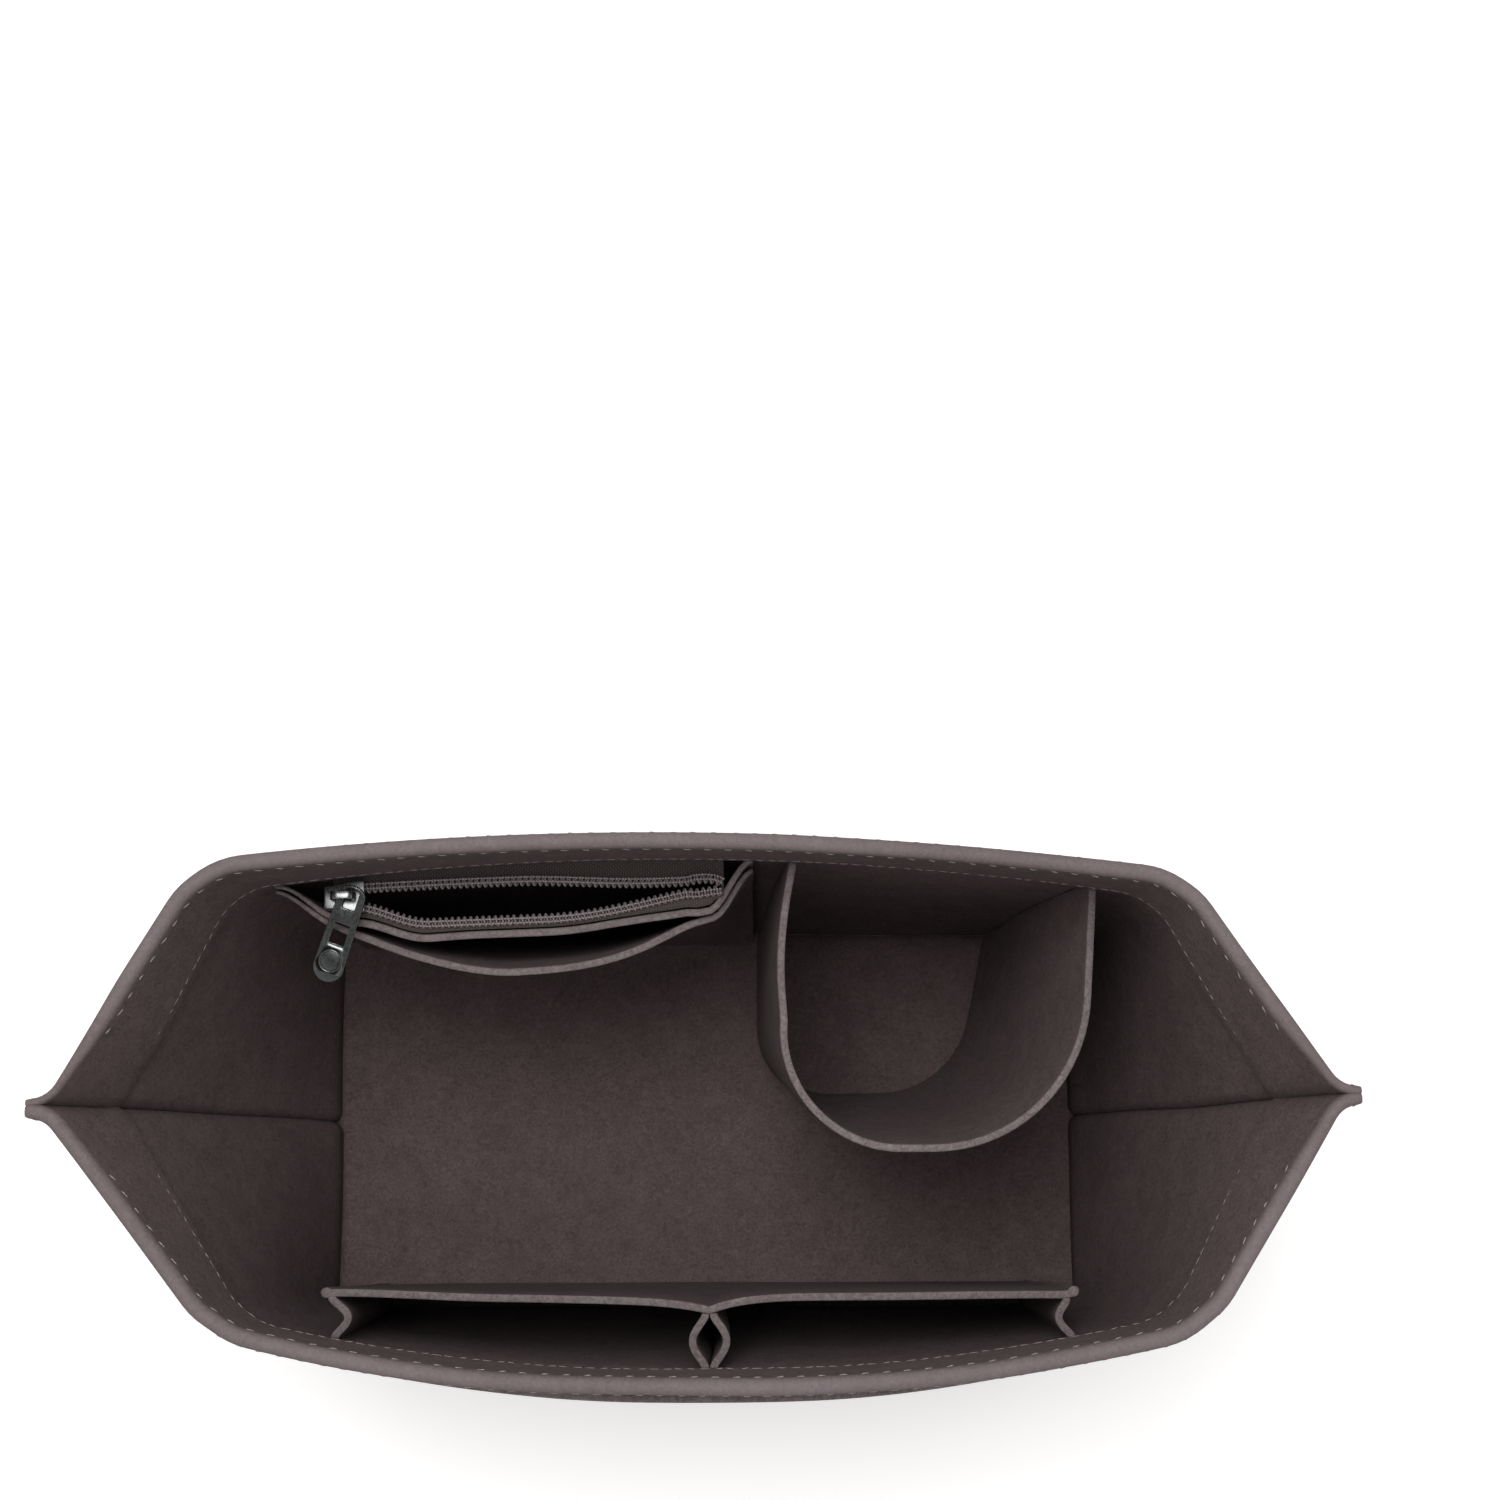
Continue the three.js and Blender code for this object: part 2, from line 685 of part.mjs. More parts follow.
function slab(plan, bottom, top) {
  const depth = top - bottom;
  const geometry = new THREE.ExtrudeGeometry(plan, { depth, bevelEnabled: false, curveSegments: cornerSteps });
  geometry.translate(0, 0, bottom);
  return toSolid(geometry);
}

function sliderBodyGeometry() {
  const lower = slab(platePlan(0), channelBottom - sliderPlate, channelBottom);
  const upper = slab(platePlan(0), tape / 2 + sliderSlit, sliderTop);
  const overrun = sliderLength;
  const hollow = platePlan(sliderFlange);
  const channel = slab(hollow, tape / 2, channelTop);
  const channelDepth = channelTop - tape / 2;
  const channelMiddle = (channelTop + tape / 2) / 2;
  const end = new THREE.BoxGeometry(sliderFlange + overrun, 2 * (tailHalf - sliderFlange), channelDepth);
  end.translate(-(sliderLength + sliderFlange + overrun) / 2 + sliderFlange, 0, channelMiddle);
  const mouth = new THREE.BoxGeometry(sliderPlate * 2 + overrun, 2 * (mouthHalf - sliderFlange), channelDepth);
  mouth.translate((sliderLength + overrun) / 2 - sliderPlate, 0, channelMiddle);
  const post = new THREE.Shape();
  const half = sliderLength / 2;
  post.moveTo(half, -sliderPostWidth / 2);
  post.lineTo(half, sliderPostWidth / 2);
  post.lineTo(half - sliderPostLength, 0);
  const joined = slab(post, channelBottom - sliderPlate / 2, channelTop + sliderPlate / 2);
  const opened = upper.subtract(channel).subtract(toSolid(end)).subtract(toSolid(mouth));
  return toGeometry(opened.add(lower).add(joined));
}

// The bridge is a bent strip: two feet and a rounded arch, drawn from the side
function bridgeGeometry() {
  const half = bridgeLength / 2;
  const side = new THREE.Shape();
  const shoulder = bridgeRise - bridgeStrip;
  side.moveTo(-half, gap);
  side.lineTo(-half, shoulder);
  side.quadraticCurveTo(-half, bridgeRise + bridgeStrip, -half / 3, bridgeRise + bridgeStrip);
  side.lineTo(half / 3, bridgeRise + bridgeStrip);
  side.quadraticCurveTo(half, bridgeRise + bridgeStrip, half, shoulder);
  side.lineTo(half, gap);
  side.lineTo(half - bridgeStrip, gap);
  side.lineTo(half - bridgeStrip, shoulder);
  side.quadraticCurveTo(half - bridgeStrip, bridgeRise, half / 3, bridgeRise);
  side.lineTo(-half / 3, bridgeRise);
  side.quadraticCurveTo(bridgeStrip - half, bridgeRise, bridgeStrip - half, shoulder);
  side.lineTo(bridgeStrip - half, gap);
  side.closePath();
  const depth = bridgeWidth;
  const geometry = new THREE.ExtrudeGeometry(side, { depth, bevelEnabled: false, curveSegments: cornerSteps });
  geometry.rotateX(Math.PI / 2);
  geometry.translate(0, bridgeWidth / 2, sliderTop);
  return geometry;
}

// The lock spring is a thin leaf under the bridge's roof, with one leg down the mouth-side foot
function springGeometry() {
  const inner = bridgeLength / 2 - bridgeStrip - gap;
  const roof = bridgeRise - gap;
  const leaf = new THREE.Shape();
  leaf.moveTo(inner - springBend, roof);
  leaf.lineTo(-inner / 2, roof);
  leaf.lineTo(-inner / 2, roof - springStrip);
  leaf.lineTo(inner - springBend, roof - springStrip);
  leaf.quadraticCurveTo(inner - springStrip, roof - springStrip, inner - springStrip, roof - springBend);
  leaf.lineTo(inner - springStrip, gap);
  leaf.lineTo(inner, gap);
  leaf.lineTo(inner, roof - springBend);
  leaf.quadraticCurveTo(inner, roof, inner - springBend, roof);
  const depth = springWidth;
  const geometry = new THREE.ExtrudeGeometry(leaf, { depth, bevelEnabled: false, curveSegments: cornerSteps });
  geometry.rotateX(Math.PI / 2);
  geometry.translate(0, springWidth / 2, sliderTop);
  return geometry;
}

// Puller, flat in its own frame: the hinge line is the X axis and the tab points along -Y
function pullerGeometry() {
  const headHalf = pullerHeadWidth / 2;
  const footHalf = pullerFootWidth / 2;
  const back = pullerEyeBack + pullerBar;
  const plan = new THREE.Shape();
  plan.moveTo(-headHalf, 0);
  plan.quadraticCurveTo(-headHalf, back, 0, back);
  plan.quadraticCurveTo(headHalf, back, headHalf, 0);
  plan.lineTo(footHalf, footHalf - pullerLength);
  plan.absarc(0, footHalf - pullerLength, footHalf, 0, -Math.PI, true);
  plan.closePath();
  const eye = new THREE.Path();
  const eyeHalf = pullerEyeWidth / 2;
  eye.moveTo(-eyeHalf, -pullerEyeFront);
  eye.lineTo(eyeHalf, -pullerEyeFront);
  eye.lineTo(eyeHalf, pullerEyeBack - pullerBar);
  eye.quadraticCurveTo(eyeHalf, pullerEyeBack, 0, pullerEyeBack);
  eye.quadraticCurveTo(-eyeHalf, pullerEyeBack, -eyeHalf, pullerEyeBack - pullerBar);
  eye.closePath();
  const opening = new THREE.Path();
  const windowHalf = pullerWindowWidth / 2;
  const windowEnd = pullerWindowStart + pullerWindowLength;
  opening.moveTo(-windowHalf, -pullerWindowStart);
  opening.lineTo(-windowHalf, -windowEnd);
  opening.lineTo(windowHalf, -windowEnd);
  opening.lineTo(windowHalf, -pullerWindowStart);
  opening.closePath();
  plan.holes.push(eye, opening);
  const tab = slab(plan, -pullerPlate / 2, pullerPlate / 2);
  const bossHeight = pullerPlate / 2 + pullerBossRise;
  const boss = new THREE.CylinderGeometry(pullerBossRadius, pullerBossRadius, bossHeight, roundSteps);
  boss.rotateX(Math.PI / 2);
  boss.translate(0, -pullerBossCentre, bossHeight / 2);
  return toGeometry(tab.add(toSolid(boss)));
}

function addSlider() {
  const slider = new THREE.Group();
  slider.position.set(sliderX, sliderY, zipHeight);
  slider.rotation.z = zipTurn;
  insert.add(slider);
  addNode(slider, 'slider_body', sliderBodyGeometry(), gunmetal);
  addNode(slider, 'slider_bridge', bridgeGeometry(), brightNickel);
  addNode(slider, 'slider_lock_spring', springGeometry(), brightNickel);
  const swivel = new THREE.Group();
  swivel.position.set(pullerPivotX, 0, sliderTop + pullerPivotRise);
  swivel.rotation.z = pullerYaw;
  slider.add(swivel);
  const hinge = new THREE.Group();
  hinge.rotation.x = pullerDroop;
  swivel.add(hinge);
  addNode(hinge, 'puller', pullerGeometry(), gunmetal);
}

// Bottle loop

// Inner face of the back of the bag at any height, with the floor's fold
function backFace(x, z) {
  const raised = wallFace(sides.back, x, Math.max(z, foldTop));
  const drop = Math.max(0, foldTop - z);
  const inner = floorFoldRadius - felt / 2 - gap;
  return raised - (inner - Math.sqrt(Math.max(0, inner * inner - drop * drop)));
}

// Rows of a sheet that stands on the floor, closer together along the floor's fold
function standingLevels(top) {
  const low = felt + gap;
  return [low, (low + foldTop) / 2, foldTop, ...panelLevels(foldTop, top).slice(1)];
}

// The part of a face that a standing sheet's edge meets first
function nearest(face, x, z, pick) {
  return pick(face(x - felt / 2, z), face(x + felt / 2, z));
}

function loopGeometry() {
  const low = felt + gap;
  const rows = standingLevels(loopTop).map((z) => {
    const lift = (z - low) / (loopTop - low);
    const left = lerp(loopBottomLeft, loopTopLeft, lift);
    const right = lerp(loopBottomRight, loopTopRight, lift);
    const frontRight = lerp(loopBottomFrontRight, loopTopFrontRight, lift);
    const front = lerp(loopBottomFront, loopTopFront, lift);
    const radius = lerp(loopBottomRadius, loopTopRadius, lift);
    const leftEnd = new THREE.Vector2(left, nearest(backFace, left, z, Math.min) - gap);
    const rightEnd = new THREE.Vector2(right, nearest(backFace, right, z, Math.min) - gap);
    const leftCorner = new THREE.Vector2(left, front);
    const rightCorner = new THREE.Vector2(frontRight, front);
    const line = [
      leftEnd,
      ...roundCorner(leftEnd, leftCorner, rightCorner, radius, loopSteps),
      ...roundCorner(leftCorner, rightCorner, rightEnd, radius, loopSteps),
      rightEnd,
    ];
    return line.map((point) => new THREE.Vector3(point.x, point.y, z));
  });
  return sheetSolid(rows, felt);
}

// Front pockets

function frontWallFace(x, z) {
  return wallFace(sides.front, x, z);
}

// The panel stands in the front fold of the floor
const frontPanelBase = felt + 2 * gap;

function frontPanelPlace(x, z) {
  const reach = x < dividerX ? dividerLeftReach : dividerRightReach;
  const top = frontPanelY - frontPanelDip * Math.exp(-Math.abs(x - dividerX) / reach);
  return lerp(frontPanelFoot, top, (z - frontPanelBase) / (frontPanelTop - frontPanelBase));
}

function frontPanelGeometry() {
  const columns = panelColumns / 2;
  const xs = [
    ...spaced(frontPanelLeft, dividerX, columns),
    ...spaced(dividerX, frontPanelRight, columns).slice(1),
  ];
  const levels = spaced(frontPanelBase, frontPanelTop, panelRows);
  const rows = levels.map((z) => xs.map((x) => new THREE.Vector3(x, frontPanelPlace(x, z), z)));
  return sheetSolid(rows.reverse(), felt);
}

// A gusset runs from the panel's back to the wall, above the fold, and bulges to one side on the way
function gussetGeometry(x, bulge) {
  const rows = panelLevels(foldEdge, frontPanelTop).map((z) => {
    const start = nearest(frontPanelPlace, x, z, Math.min) - felt / 2 - gap;
    const end = nearest(frontWallFace, x, z, Math.max) + gap;
    const lift = z / frontPanelTop;
    const middle = spaced(start - gussetLip, end + gussetLip, gussetColumns).map((y, k) => {
      const turn = 2 * Math.PI * k / gussetColumns;
      return new THREE.Vector3(x + bulge * lift * (1 - Math.cos(turn)) / 2, y, z);
    });
    return [new THREE.Vector3(x, start, z), ...middle, new THREE.Vector3(x, end, z)];
  });
  return sheetSolid(rows, felt);
}

function addFrontPockets() {
  addNode(insert, 'front_pocket_panel', frontPanelGeometry(), feltMaterial);
  const pairHalf = (felt + gap) / 2;
  const leftX = frontPanelLeft + leftGussetInset;
  const rightX = frontPanelRight - rightGussetInset;
  addNode(insert, 'gusset_left', gussetGeometry(leftX, leftGussetBulge), feltMaterial);
  addNode(insert, 'gusset_centre_left', gussetGeometry(dividerX - pairHalf, -dividerBulge), feltMaterial);
  addNode(insert, 'gusset_centre_right', gussetGeometry(dividerX + pairHalf, dividerBulge), feltMaterial);
  addNode(insert, 'gusset_right', gussetGeometry(rightX, -rightGussetBulge), feltMaterial);
}

addNode(insert, 'floor_panel', floorGeometry(), feltMaterial);
addWalls();
addWallPanels();
addTapes();
addCoils();
addSlider();
addNode(insert, 'bottle_loop', loopGeometry(), feltMaterial);
addFrontPockets();

export default insert;
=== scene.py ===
import math
import bpy
import bmesh
import numpy as np
from mathutils import Matrix, Vector, noise


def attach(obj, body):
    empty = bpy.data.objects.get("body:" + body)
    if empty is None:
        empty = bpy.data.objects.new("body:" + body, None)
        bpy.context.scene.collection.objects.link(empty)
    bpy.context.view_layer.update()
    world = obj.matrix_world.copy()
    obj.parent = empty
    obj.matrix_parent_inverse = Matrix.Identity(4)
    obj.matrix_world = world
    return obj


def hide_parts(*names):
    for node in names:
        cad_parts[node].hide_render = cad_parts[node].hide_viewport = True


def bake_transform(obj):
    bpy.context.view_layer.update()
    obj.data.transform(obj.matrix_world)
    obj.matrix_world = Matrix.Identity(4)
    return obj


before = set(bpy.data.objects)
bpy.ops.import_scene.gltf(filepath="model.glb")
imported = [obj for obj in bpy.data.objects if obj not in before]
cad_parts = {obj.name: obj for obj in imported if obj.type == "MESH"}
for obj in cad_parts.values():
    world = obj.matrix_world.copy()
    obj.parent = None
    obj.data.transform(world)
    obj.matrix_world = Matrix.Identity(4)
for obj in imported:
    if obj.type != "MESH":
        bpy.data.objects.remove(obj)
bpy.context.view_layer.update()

# Studio. A white table top seen from nearly overhead, under one soft square lamp that hangs above
# and a little behind, in an even white room, so that the felt is shaded mostly by its own depth.
MM = 0.001
TABLE_HALF, TABLE_DROP, TABLE_GLOW = 4.0, 0.0002, 0.36
ROOM_LEVELS = (0, 0.9, 0.59, 0.735)
MIRRORED_LEVELS = (0.4, 0.9, 0.85, 0.065)
LAMP_PLACE, LAMP_TARGET = Vector((-0.14, 0.29, 1.45)), Vector((0, 0, 0.08))
LAMP_SIDE, LAMP_WATTS = 0.6, 8.7
CAMERA_PLACE = Vector((16.581, -24.584, 788.053)) * MM
CAMERA_RISE, CAMERA_ROLL = math.radians(78.869), math.radians(-0.47)
SENSOR, PHOTO_PIXELS, FOCAL_PIXELS = 36, 1500, 2239.248


def linear(hex_colour):
    """An sRGB hex colour as linear red, green, blue and alpha."""
    parts = [int(hex_colour[i:i + 2], 16) / 255 for i in (1, 3, 5)]
    return [c / 12.92 if c <= 0.04045 else ((c + 0.055) / 1.055) ** 2.4 for c in parts] + [1.0]


def add_node(tree, kind, inputs=None, **settings):
    """Adds a node; an input takes a number, another node's output, or a node for its first output."""
    node = tree.nodes.new(kind)
    for name, value in settings.items():
        setattr(node, name, value)
    for socket, value in (inputs or {}).items():
        if isinstance(value, bpy.types.Node):
            value = next(output for output in value.outputs if output.enabled)
        if isinstance(value, bpy.types.NodeSocket):
            tree.links.new(value, node.inputs[socket])
        else:
            node.inputs[socket].default_value = value
    return node


def compute(tree, operation, *terms, kind="ShaderNodeMath"):
    return add_node(tree, kind, dict(enumerate(terms)), operation=operation)


def remap(tree, value, from_low, from_high, to_low, to_high):
    return add_node(tree, "ShaderNodeMapRange", {"Value": value, "From Min": from_low, "From Max": from_high,
                                                 "To Min": to_low, "To Max": to_high})


def mix_nodes(tree, share, first, second, data_type="RGBA"):
    return add_node(tree, "ShaderNodeMix", {"Factor": share, "A": first, "B": second}, data_type=data_type)


def new_material(name):
    material = bpy.data.materials.new(name)
    material.use_nodes = True
    material.node_tree.nodes.clear()
    return material, material.node_tree


def show(name, data):
    """Puts a mesh, a curve, a lamp or a camera into the scene."""
    item = bpy.data.objects.new(name, data)
    bpy.context.scene.collection.objects.link(item)
    return item


table_material, tree = new_material("white laminate table")
white = add_node(tree, "ShaderNodeBsdfDiffuse", {"Color": linear("#f4f3f2")})
path = add_node(tree, "ShaderNodeLightPath").outputs
seen = compute(tree, "MAXIMUM", path["Is Camera Ray"], path["Is Glossy Ray"])
glow = add_node(tree, "ShaderNodeEmission", {"Strength": compute(tree, "MULTIPLY", seen, TABLE_GLOW)})
both = add_node(tree, "ShaderNodeAddShader", {0: white, 1: glow})
add_node(tree, "ShaderNodeOutputMaterial", {"Surface": both})

table_mesh = bpy.data.meshes.new("table_top")
table_mesh.from_pydata([(x * TABLE_HALF, y * TABLE_HALF, 0) for x, y in ((-1, -1), (1, -1), (1, 1), (-1, 1))],
                       [], [(0, 1, 2, 3)])
table_mesh.materials.append(table_material)
table_top = show("table_top", table_mesh)
table_top.location.z = -TABLE_DROP

world = bpy.data.worlds.new("even white room")
world.use_nodes = True
tree = world.node_tree
tree.nodes.clear()
direction = add_node(tree, "ShaderNodeTexCoord").outputs["Generated"]
ray_height = add_node(tree, "ShaderNodeSeparateXYZ", {0: direction}).outputs["Z"]
room = remap(tree, ray_height, *ROOM_LEVELS)
mirrored = remap(tree, ray_height, *MIRRORED_LEVELS)
path = add_node(tree, "ShaderNodeLightPath").outputs
dimmed = mix_nodes(tree, path["Is Glossy Ray"], room, mirrored, "FLOAT")
strength = mix_nodes(tree, path["Is Camera Ray"], dimmed, 1.0, "FLOAT")
sky = add_node(tree, "ShaderNodeBackground", {"Color": (1, 1, 1, 1), "Strength": strength})
add_node(tree, "ShaderNodeOutputWorld", {"Surface": sky})
bpy.context.scene.world = world
bpy.context.scene.view_settings.view_transform = "Standard"

lamp = bpy.data.lights.new("softbox_above", "AREA")
lamp.shape = "SQUARE"
lamp.size = LAMP_SIDE
lamp.energy = LAMP_WATTS
lamp_holder = show("softbox_above", lamp)
lamp_holder.location = LAMP_PLACE
lamp_holder.rotation_euler = (LAMP_TARGET - LAMP_PLACE).to_track_quat("-Z", "Y").to_euler()

camera = bpy.data.cameras.new("camera")
camera.sensor_width = SENSOR
camera.lens = SENSOR * FOCAL_PIXELS / PHOTO_PIXELS
camera.clip_start = 0.01
view_back = Vector((0, -math.cos(CAMERA_RISE), math.sin(CAMERA_RISE)))
view_up = Vector((0, math.sin(CAMERA_RISE), math.cos(CAMERA_RISE)))
view_right = Vector((1, 0, 0))
rolled_right = view_right * math.cos(CAMERA_ROLL) + view_up * math.sin(CAMERA_ROLL)
rolled_up = view_up * math.cos(CAMERA_ROLL) - view_right * math.sin(CAMERA_ROLL)
camera_holder = show("camera", camera)
camera_turn = Matrix((rolled_right, rolled_up, view_back)).transposed().to_4x4()
camera_holder.matrix_world = Matrix.Translation(CAMERA_PLACE) @ camera_turn
bpy.context.scene.camera = camera_holder

# Floor panel. Pressed polyester felt, 2.2 mm thick, whose two long edges fold up into the
# walls; its short edges lie outside as a flat seam allowance under the ends.
FELT = 2.2
LAP = 0.3
FLOOR_LENGTH, FLOOR_DEPTH = 250, 125
FOLD_RADIUS = 8
FOLD_STOP, FOLD_RAMP = 8, 5
FLOOR_SEAM = 7
FLOOR_CORNER_RADIUS = 5
CUT_ROUNDING = 0.5
WAVE_REACH, WAVE_LENGTH = 0.9, 62
WAVE_LOW, WAVE_RISE = 3, 20
WAVE_SEED = 1795883280
STILL_X, STILL_Y, STILL_Z = (22, 40), (22, 38), (95, 112)


def smooth(x, first, last):
    """0 before first, 1 after last, and an even bend between."""
    t = np.clip((x - first) / (last - first), 0, 1)
    return t * t * (3 - 2 * t)


def mix(a, b, share):
    return a + (b - a) * share


def pattern(tree, kind, scale, values=None, **settings):
    """A texture laid out in the part's own metres: one over its scale is the size of its marks."""
    place = add_node(tree, "ShaderNodeTexCoord").outputs["Object"]
    return add_node(tree, kind, {"Vector": place, "Scale": scale, **(values or {})}, **settings)


def bumped(tree, height, strength, distance):
    return add_node(tree, "ShaderNodeBump", {"Strength": strength, "Distance": distance, "Height": height})


def coat(material, values):
    """Gives a material its surface and its output."""
    surface = add_node(material.node_tree, "ShaderNodeBsdfPrincipled", values)
    add_node(material.node_tree, "ShaderNodeOutputMaterial", {"Surface": surface})
    return material


def pressed_felt(name, pale, dark, bump):
    """Needle-punched felt. The needles cross pale and dark fibres, which gives a fine mottling of
    about 1.5 mm under slower clouds of about 9 mm; the cut ends of the fibres keep it matt and a little
    rough. The top of the rim's fold is painted paler, as a painted highlight."""
    material, tree = new_material(name)
    fibres = pattern(tree, "ShaderNodeTexNoise", 620, {"Detail": 4, "Roughness": 0.65, "Distortion": 1.6})
    clumps = pattern(tree, "ShaderNodeTexNoise", 110, {"Detail": 3, "Roughness": 0.55, "Distortion": 0.4})
    nap = pattern(tree, "ShaderNodeTexNoise", 1500, {"Detail": 3, "Roughness": 0.7, "Distortion": 2.2})
    colour = mix_nodes(tree, remap(tree, fibres, 0.36, 0.64, 0, 1), linear(dark), linear(pale))
    shade = remap(tree, clumps, 0.3, 0.7, 0.9, 1.08)
    shaded = compute(tree, "MULTIPLY", colour, shade, kind="ShaderNodeVectorMath")
    raised = bumped(tree, compute(tree, "ADD", nap, fibres), bump, 0.0004)
    # Painted highlight: above 161.5 mm, the top of the rim's fold, the colour is mixed up to 30 % towards a
    # pale grey.
    place = add_node(tree, "ShaderNodeTexCoord").outputs["Object"]
    height = add_node(tree, "ShaderNodeSeparateXYZ", {0: place}).outputs["Z"]
    painted_rim_highlight = mix_nodes(tree, remap(tree, height, 0.1615, 0.1652, 0, 0.3), shaded, linear("#a0989a"))
    return coat(material, {"Roughness": 0.95, "Specular IOR Level": 0.06, "Sheen Weight": 0.02,
                           "Sheen Roughness": 0.5, "Base Color": painted_rim_highlight, "Normal": raised})


felt_face = pressed_felt("needle-punched felt face", "#6d5f5e", "#594c4c", 0.35)
felt_edge = pressed_felt("needle-punched felt cut edge", "#8a7f7f", "#6a6060", 0.6)
noise.seed_set(WAVE_SEED)


def settle(points):
    """Moves points in mm by a slow wave, so that soft sheets that touch stay together but none is
    dead flat; the sheets beside the slider stay still."""
    moved = np.array(points, float)
    flat = moved.reshape(-1, 3)
    near_slider = (smooth(flat[:, 2], *STILL_Z) * smooth(flat[:, 1], *STILL_Y)
                   * (1 - smooth(flat[:, 0], *STILL_X)))
    for k, point in enumerate(flat):
        wave = noise.noise_vector(Vector(point) / WAVE_LENGTH)
        reach = WAVE_REACH * (1 - near_slider[k])
        flat[k, 0] += reach * wave.x
        flat[k, 1] += reach * wave.y
        flat[k, 2] += reach * wave.z * min(1, max(0, point[2] - WAVE_LOW) / WAVE_RISE)
    return flat.reshape(moved.shape)


def bake(piece):
    """Turns a piece with modifiers into the plain mesh that they make."""
    old = piece.data
    ready = bpy.data.meshes.new_from_object(piece.evaluated_get(bpy.context.evaluated_depsgraph_get()))
    piece.modifiers.clear()
    piece.data = ready
    bpy.data.meshes.remove(old)
    return piece


def felt_sheet(name, rows, thickness=FELT, materials=(felt_face, felt_edge), rounded=CUT_ROUNDING,
               open_left=False, open_right=False):
    """A sheet on both sides of a grid of points in mm, its cut edges slightly rounded; an open end
    joins the other half of the same sheet."""
    grid = settle(rows)
    normal = np.cross(np.gradient(grid, axis=1), np.gradient(grid, axis=0))
    normal /= np.linalg.norm(normal, axis=2, keepdims=True)
    count_r, count_c = grid.shape[:2]
    verts = np.concatenate([(grid + side * normal * thickness / 2).reshape(-1, 3) for side in (1, -1)])

    def at(face, i, j):
        return (face * count_r + i) * count_c + j

    faces, kinds = [], []
    bottom, right = count_r - 1, count_c - 1
    for i in range(bottom):
        for j in range(right):
            faces.append((at(0, i, j), at(0, i, j + 1), at(0, i + 1, j + 1), at(0, i + 1, j)))
            faces.append((at(1, i, j), at(1, i + 1, j), at(1, i + 1, j + 1), at(1, i, j + 1)))
            kinds += [0, 0]
        faces.append((at(0, i, 0), at(0, i + 1, 0), at(1, i + 1, 0), at(1, i, 0)))
        faces.append((at(0, i, right), at(1, i, right), at(1, i + 1, right), at(0, i + 1, right)))
        kinds += [0 if open_left else 1, 0 if open_right else 1]
    for j in range(right):
        faces.append((at(0, 0, j), at(1, 0, j), at(1, 0, j + 1), at(0, 0, j + 1)))
        faces.append((at(0, bottom, j), at(0, bottom, j + 1), at(1, bottom, j + 1), at(1, bottom, j)))
        kinds += [1, 1]
    mesh = bpy.data.meshes.new(name)
    mesh.from_pydata([tuple(v) for v in verts * MM], [], faces)
    for material in materials:
        mesh.materials.append(material)
    mesh.polygons.foreach_set("material_index", kinds)
    mesh.polygons.foreach_set("use_smooth", [True] * len(faces))
    mesh.update()
    weights = mesh.attributes.new("bevel_weight_edge", "FLOAT", "EDGE")
    sharp = mesh.attributes.new("sharp_edge", "BOOLEAN", "EDGE")
    ends = [j for j, flag in ((0, open_left), (right, open_right)) if flag]
    side_size = count_r * count_c
    for edge in mesh.edges:
        (fa, ia, ja), (fb, ib, jb) = [(v // side_size, v // count_c % count_r, v % count_c)
                                      for v in edge.vertices]
        rim = (ia == ib and ia in (0, bottom)) or (ja == jb and ja in (0, right))
        if ja == jb and ja in ends:
            sharp.data[edge.index].value = True
        elif fa == fb and rim:
            weights.data[edge.index].value = 1.0
    piece = show(name, mesh)
    bevel = piece.modifiers.new("rounded cut edge", "BEVEL")
    bevel.limit_method = "WEIGHT"
    bevel.width = rounded * MM
    bevel.segments = 2
    bevel.material = 1
    return bake(piece)


middle_depth = (FLOOR_DEPTH + FELT) / 2
fold_top = FELT / 2 + FOLD_RADIUS
fold_centre = middle_depth - FOLD_RADIUS
fold_half = FLOOR_LENGTH / 2 - FLOOR_CORNER_RADIUS - FOLD_STOP
end_half = FLOOR_LENGTH / 2 + FELT + FLOOR_SEAM
turns = np.linspace(0, math.pi / 2, 9)
side_profile = [(fold_centre + FOLD_RADIUS * math.cos(a), fold_top - FOLD_RADIUS * math.sin(a))
                for a in turns]
flat_run = np.linspace(fold_centre, -fold_centre, 25)[1:-1]
profile = side_profile + [(y, FELT / 2) for y in flat_run] + [(-y, z) for y, z in reversed(side_profile)]
flat_profile = []
for y, z in profile:
    unrolled = mix(fold_centre, middle_depth, (abs(y) - fold_centre) / FOLD_RADIUS)
    flat_profile.append((y if abs(y) <= fold_centre else math.copysign(unrolled, y), FELT / 2))
rows = []
for x in np.concatenate([np.linspace(-end_half, -fold_half - FOLD_RAMP, 5),
                         np.linspace(-fold_half, fold_half, 50),
                         np.linspace(fold_half + FOLD_RAMP, end_half, 5)]):
    up = 1 - smooth(abs(x), fold_half, fold_half + FOLD_RAMP)
    rows.append([(x, mix(f[0], p[0], up), mix(f[1], p[1], up)) for f, p in zip(flat_profile, profile)])
floor_felt = felt_sheet("floor_felt", rows)
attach(floor_felt, "insert")
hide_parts("floor_panel")

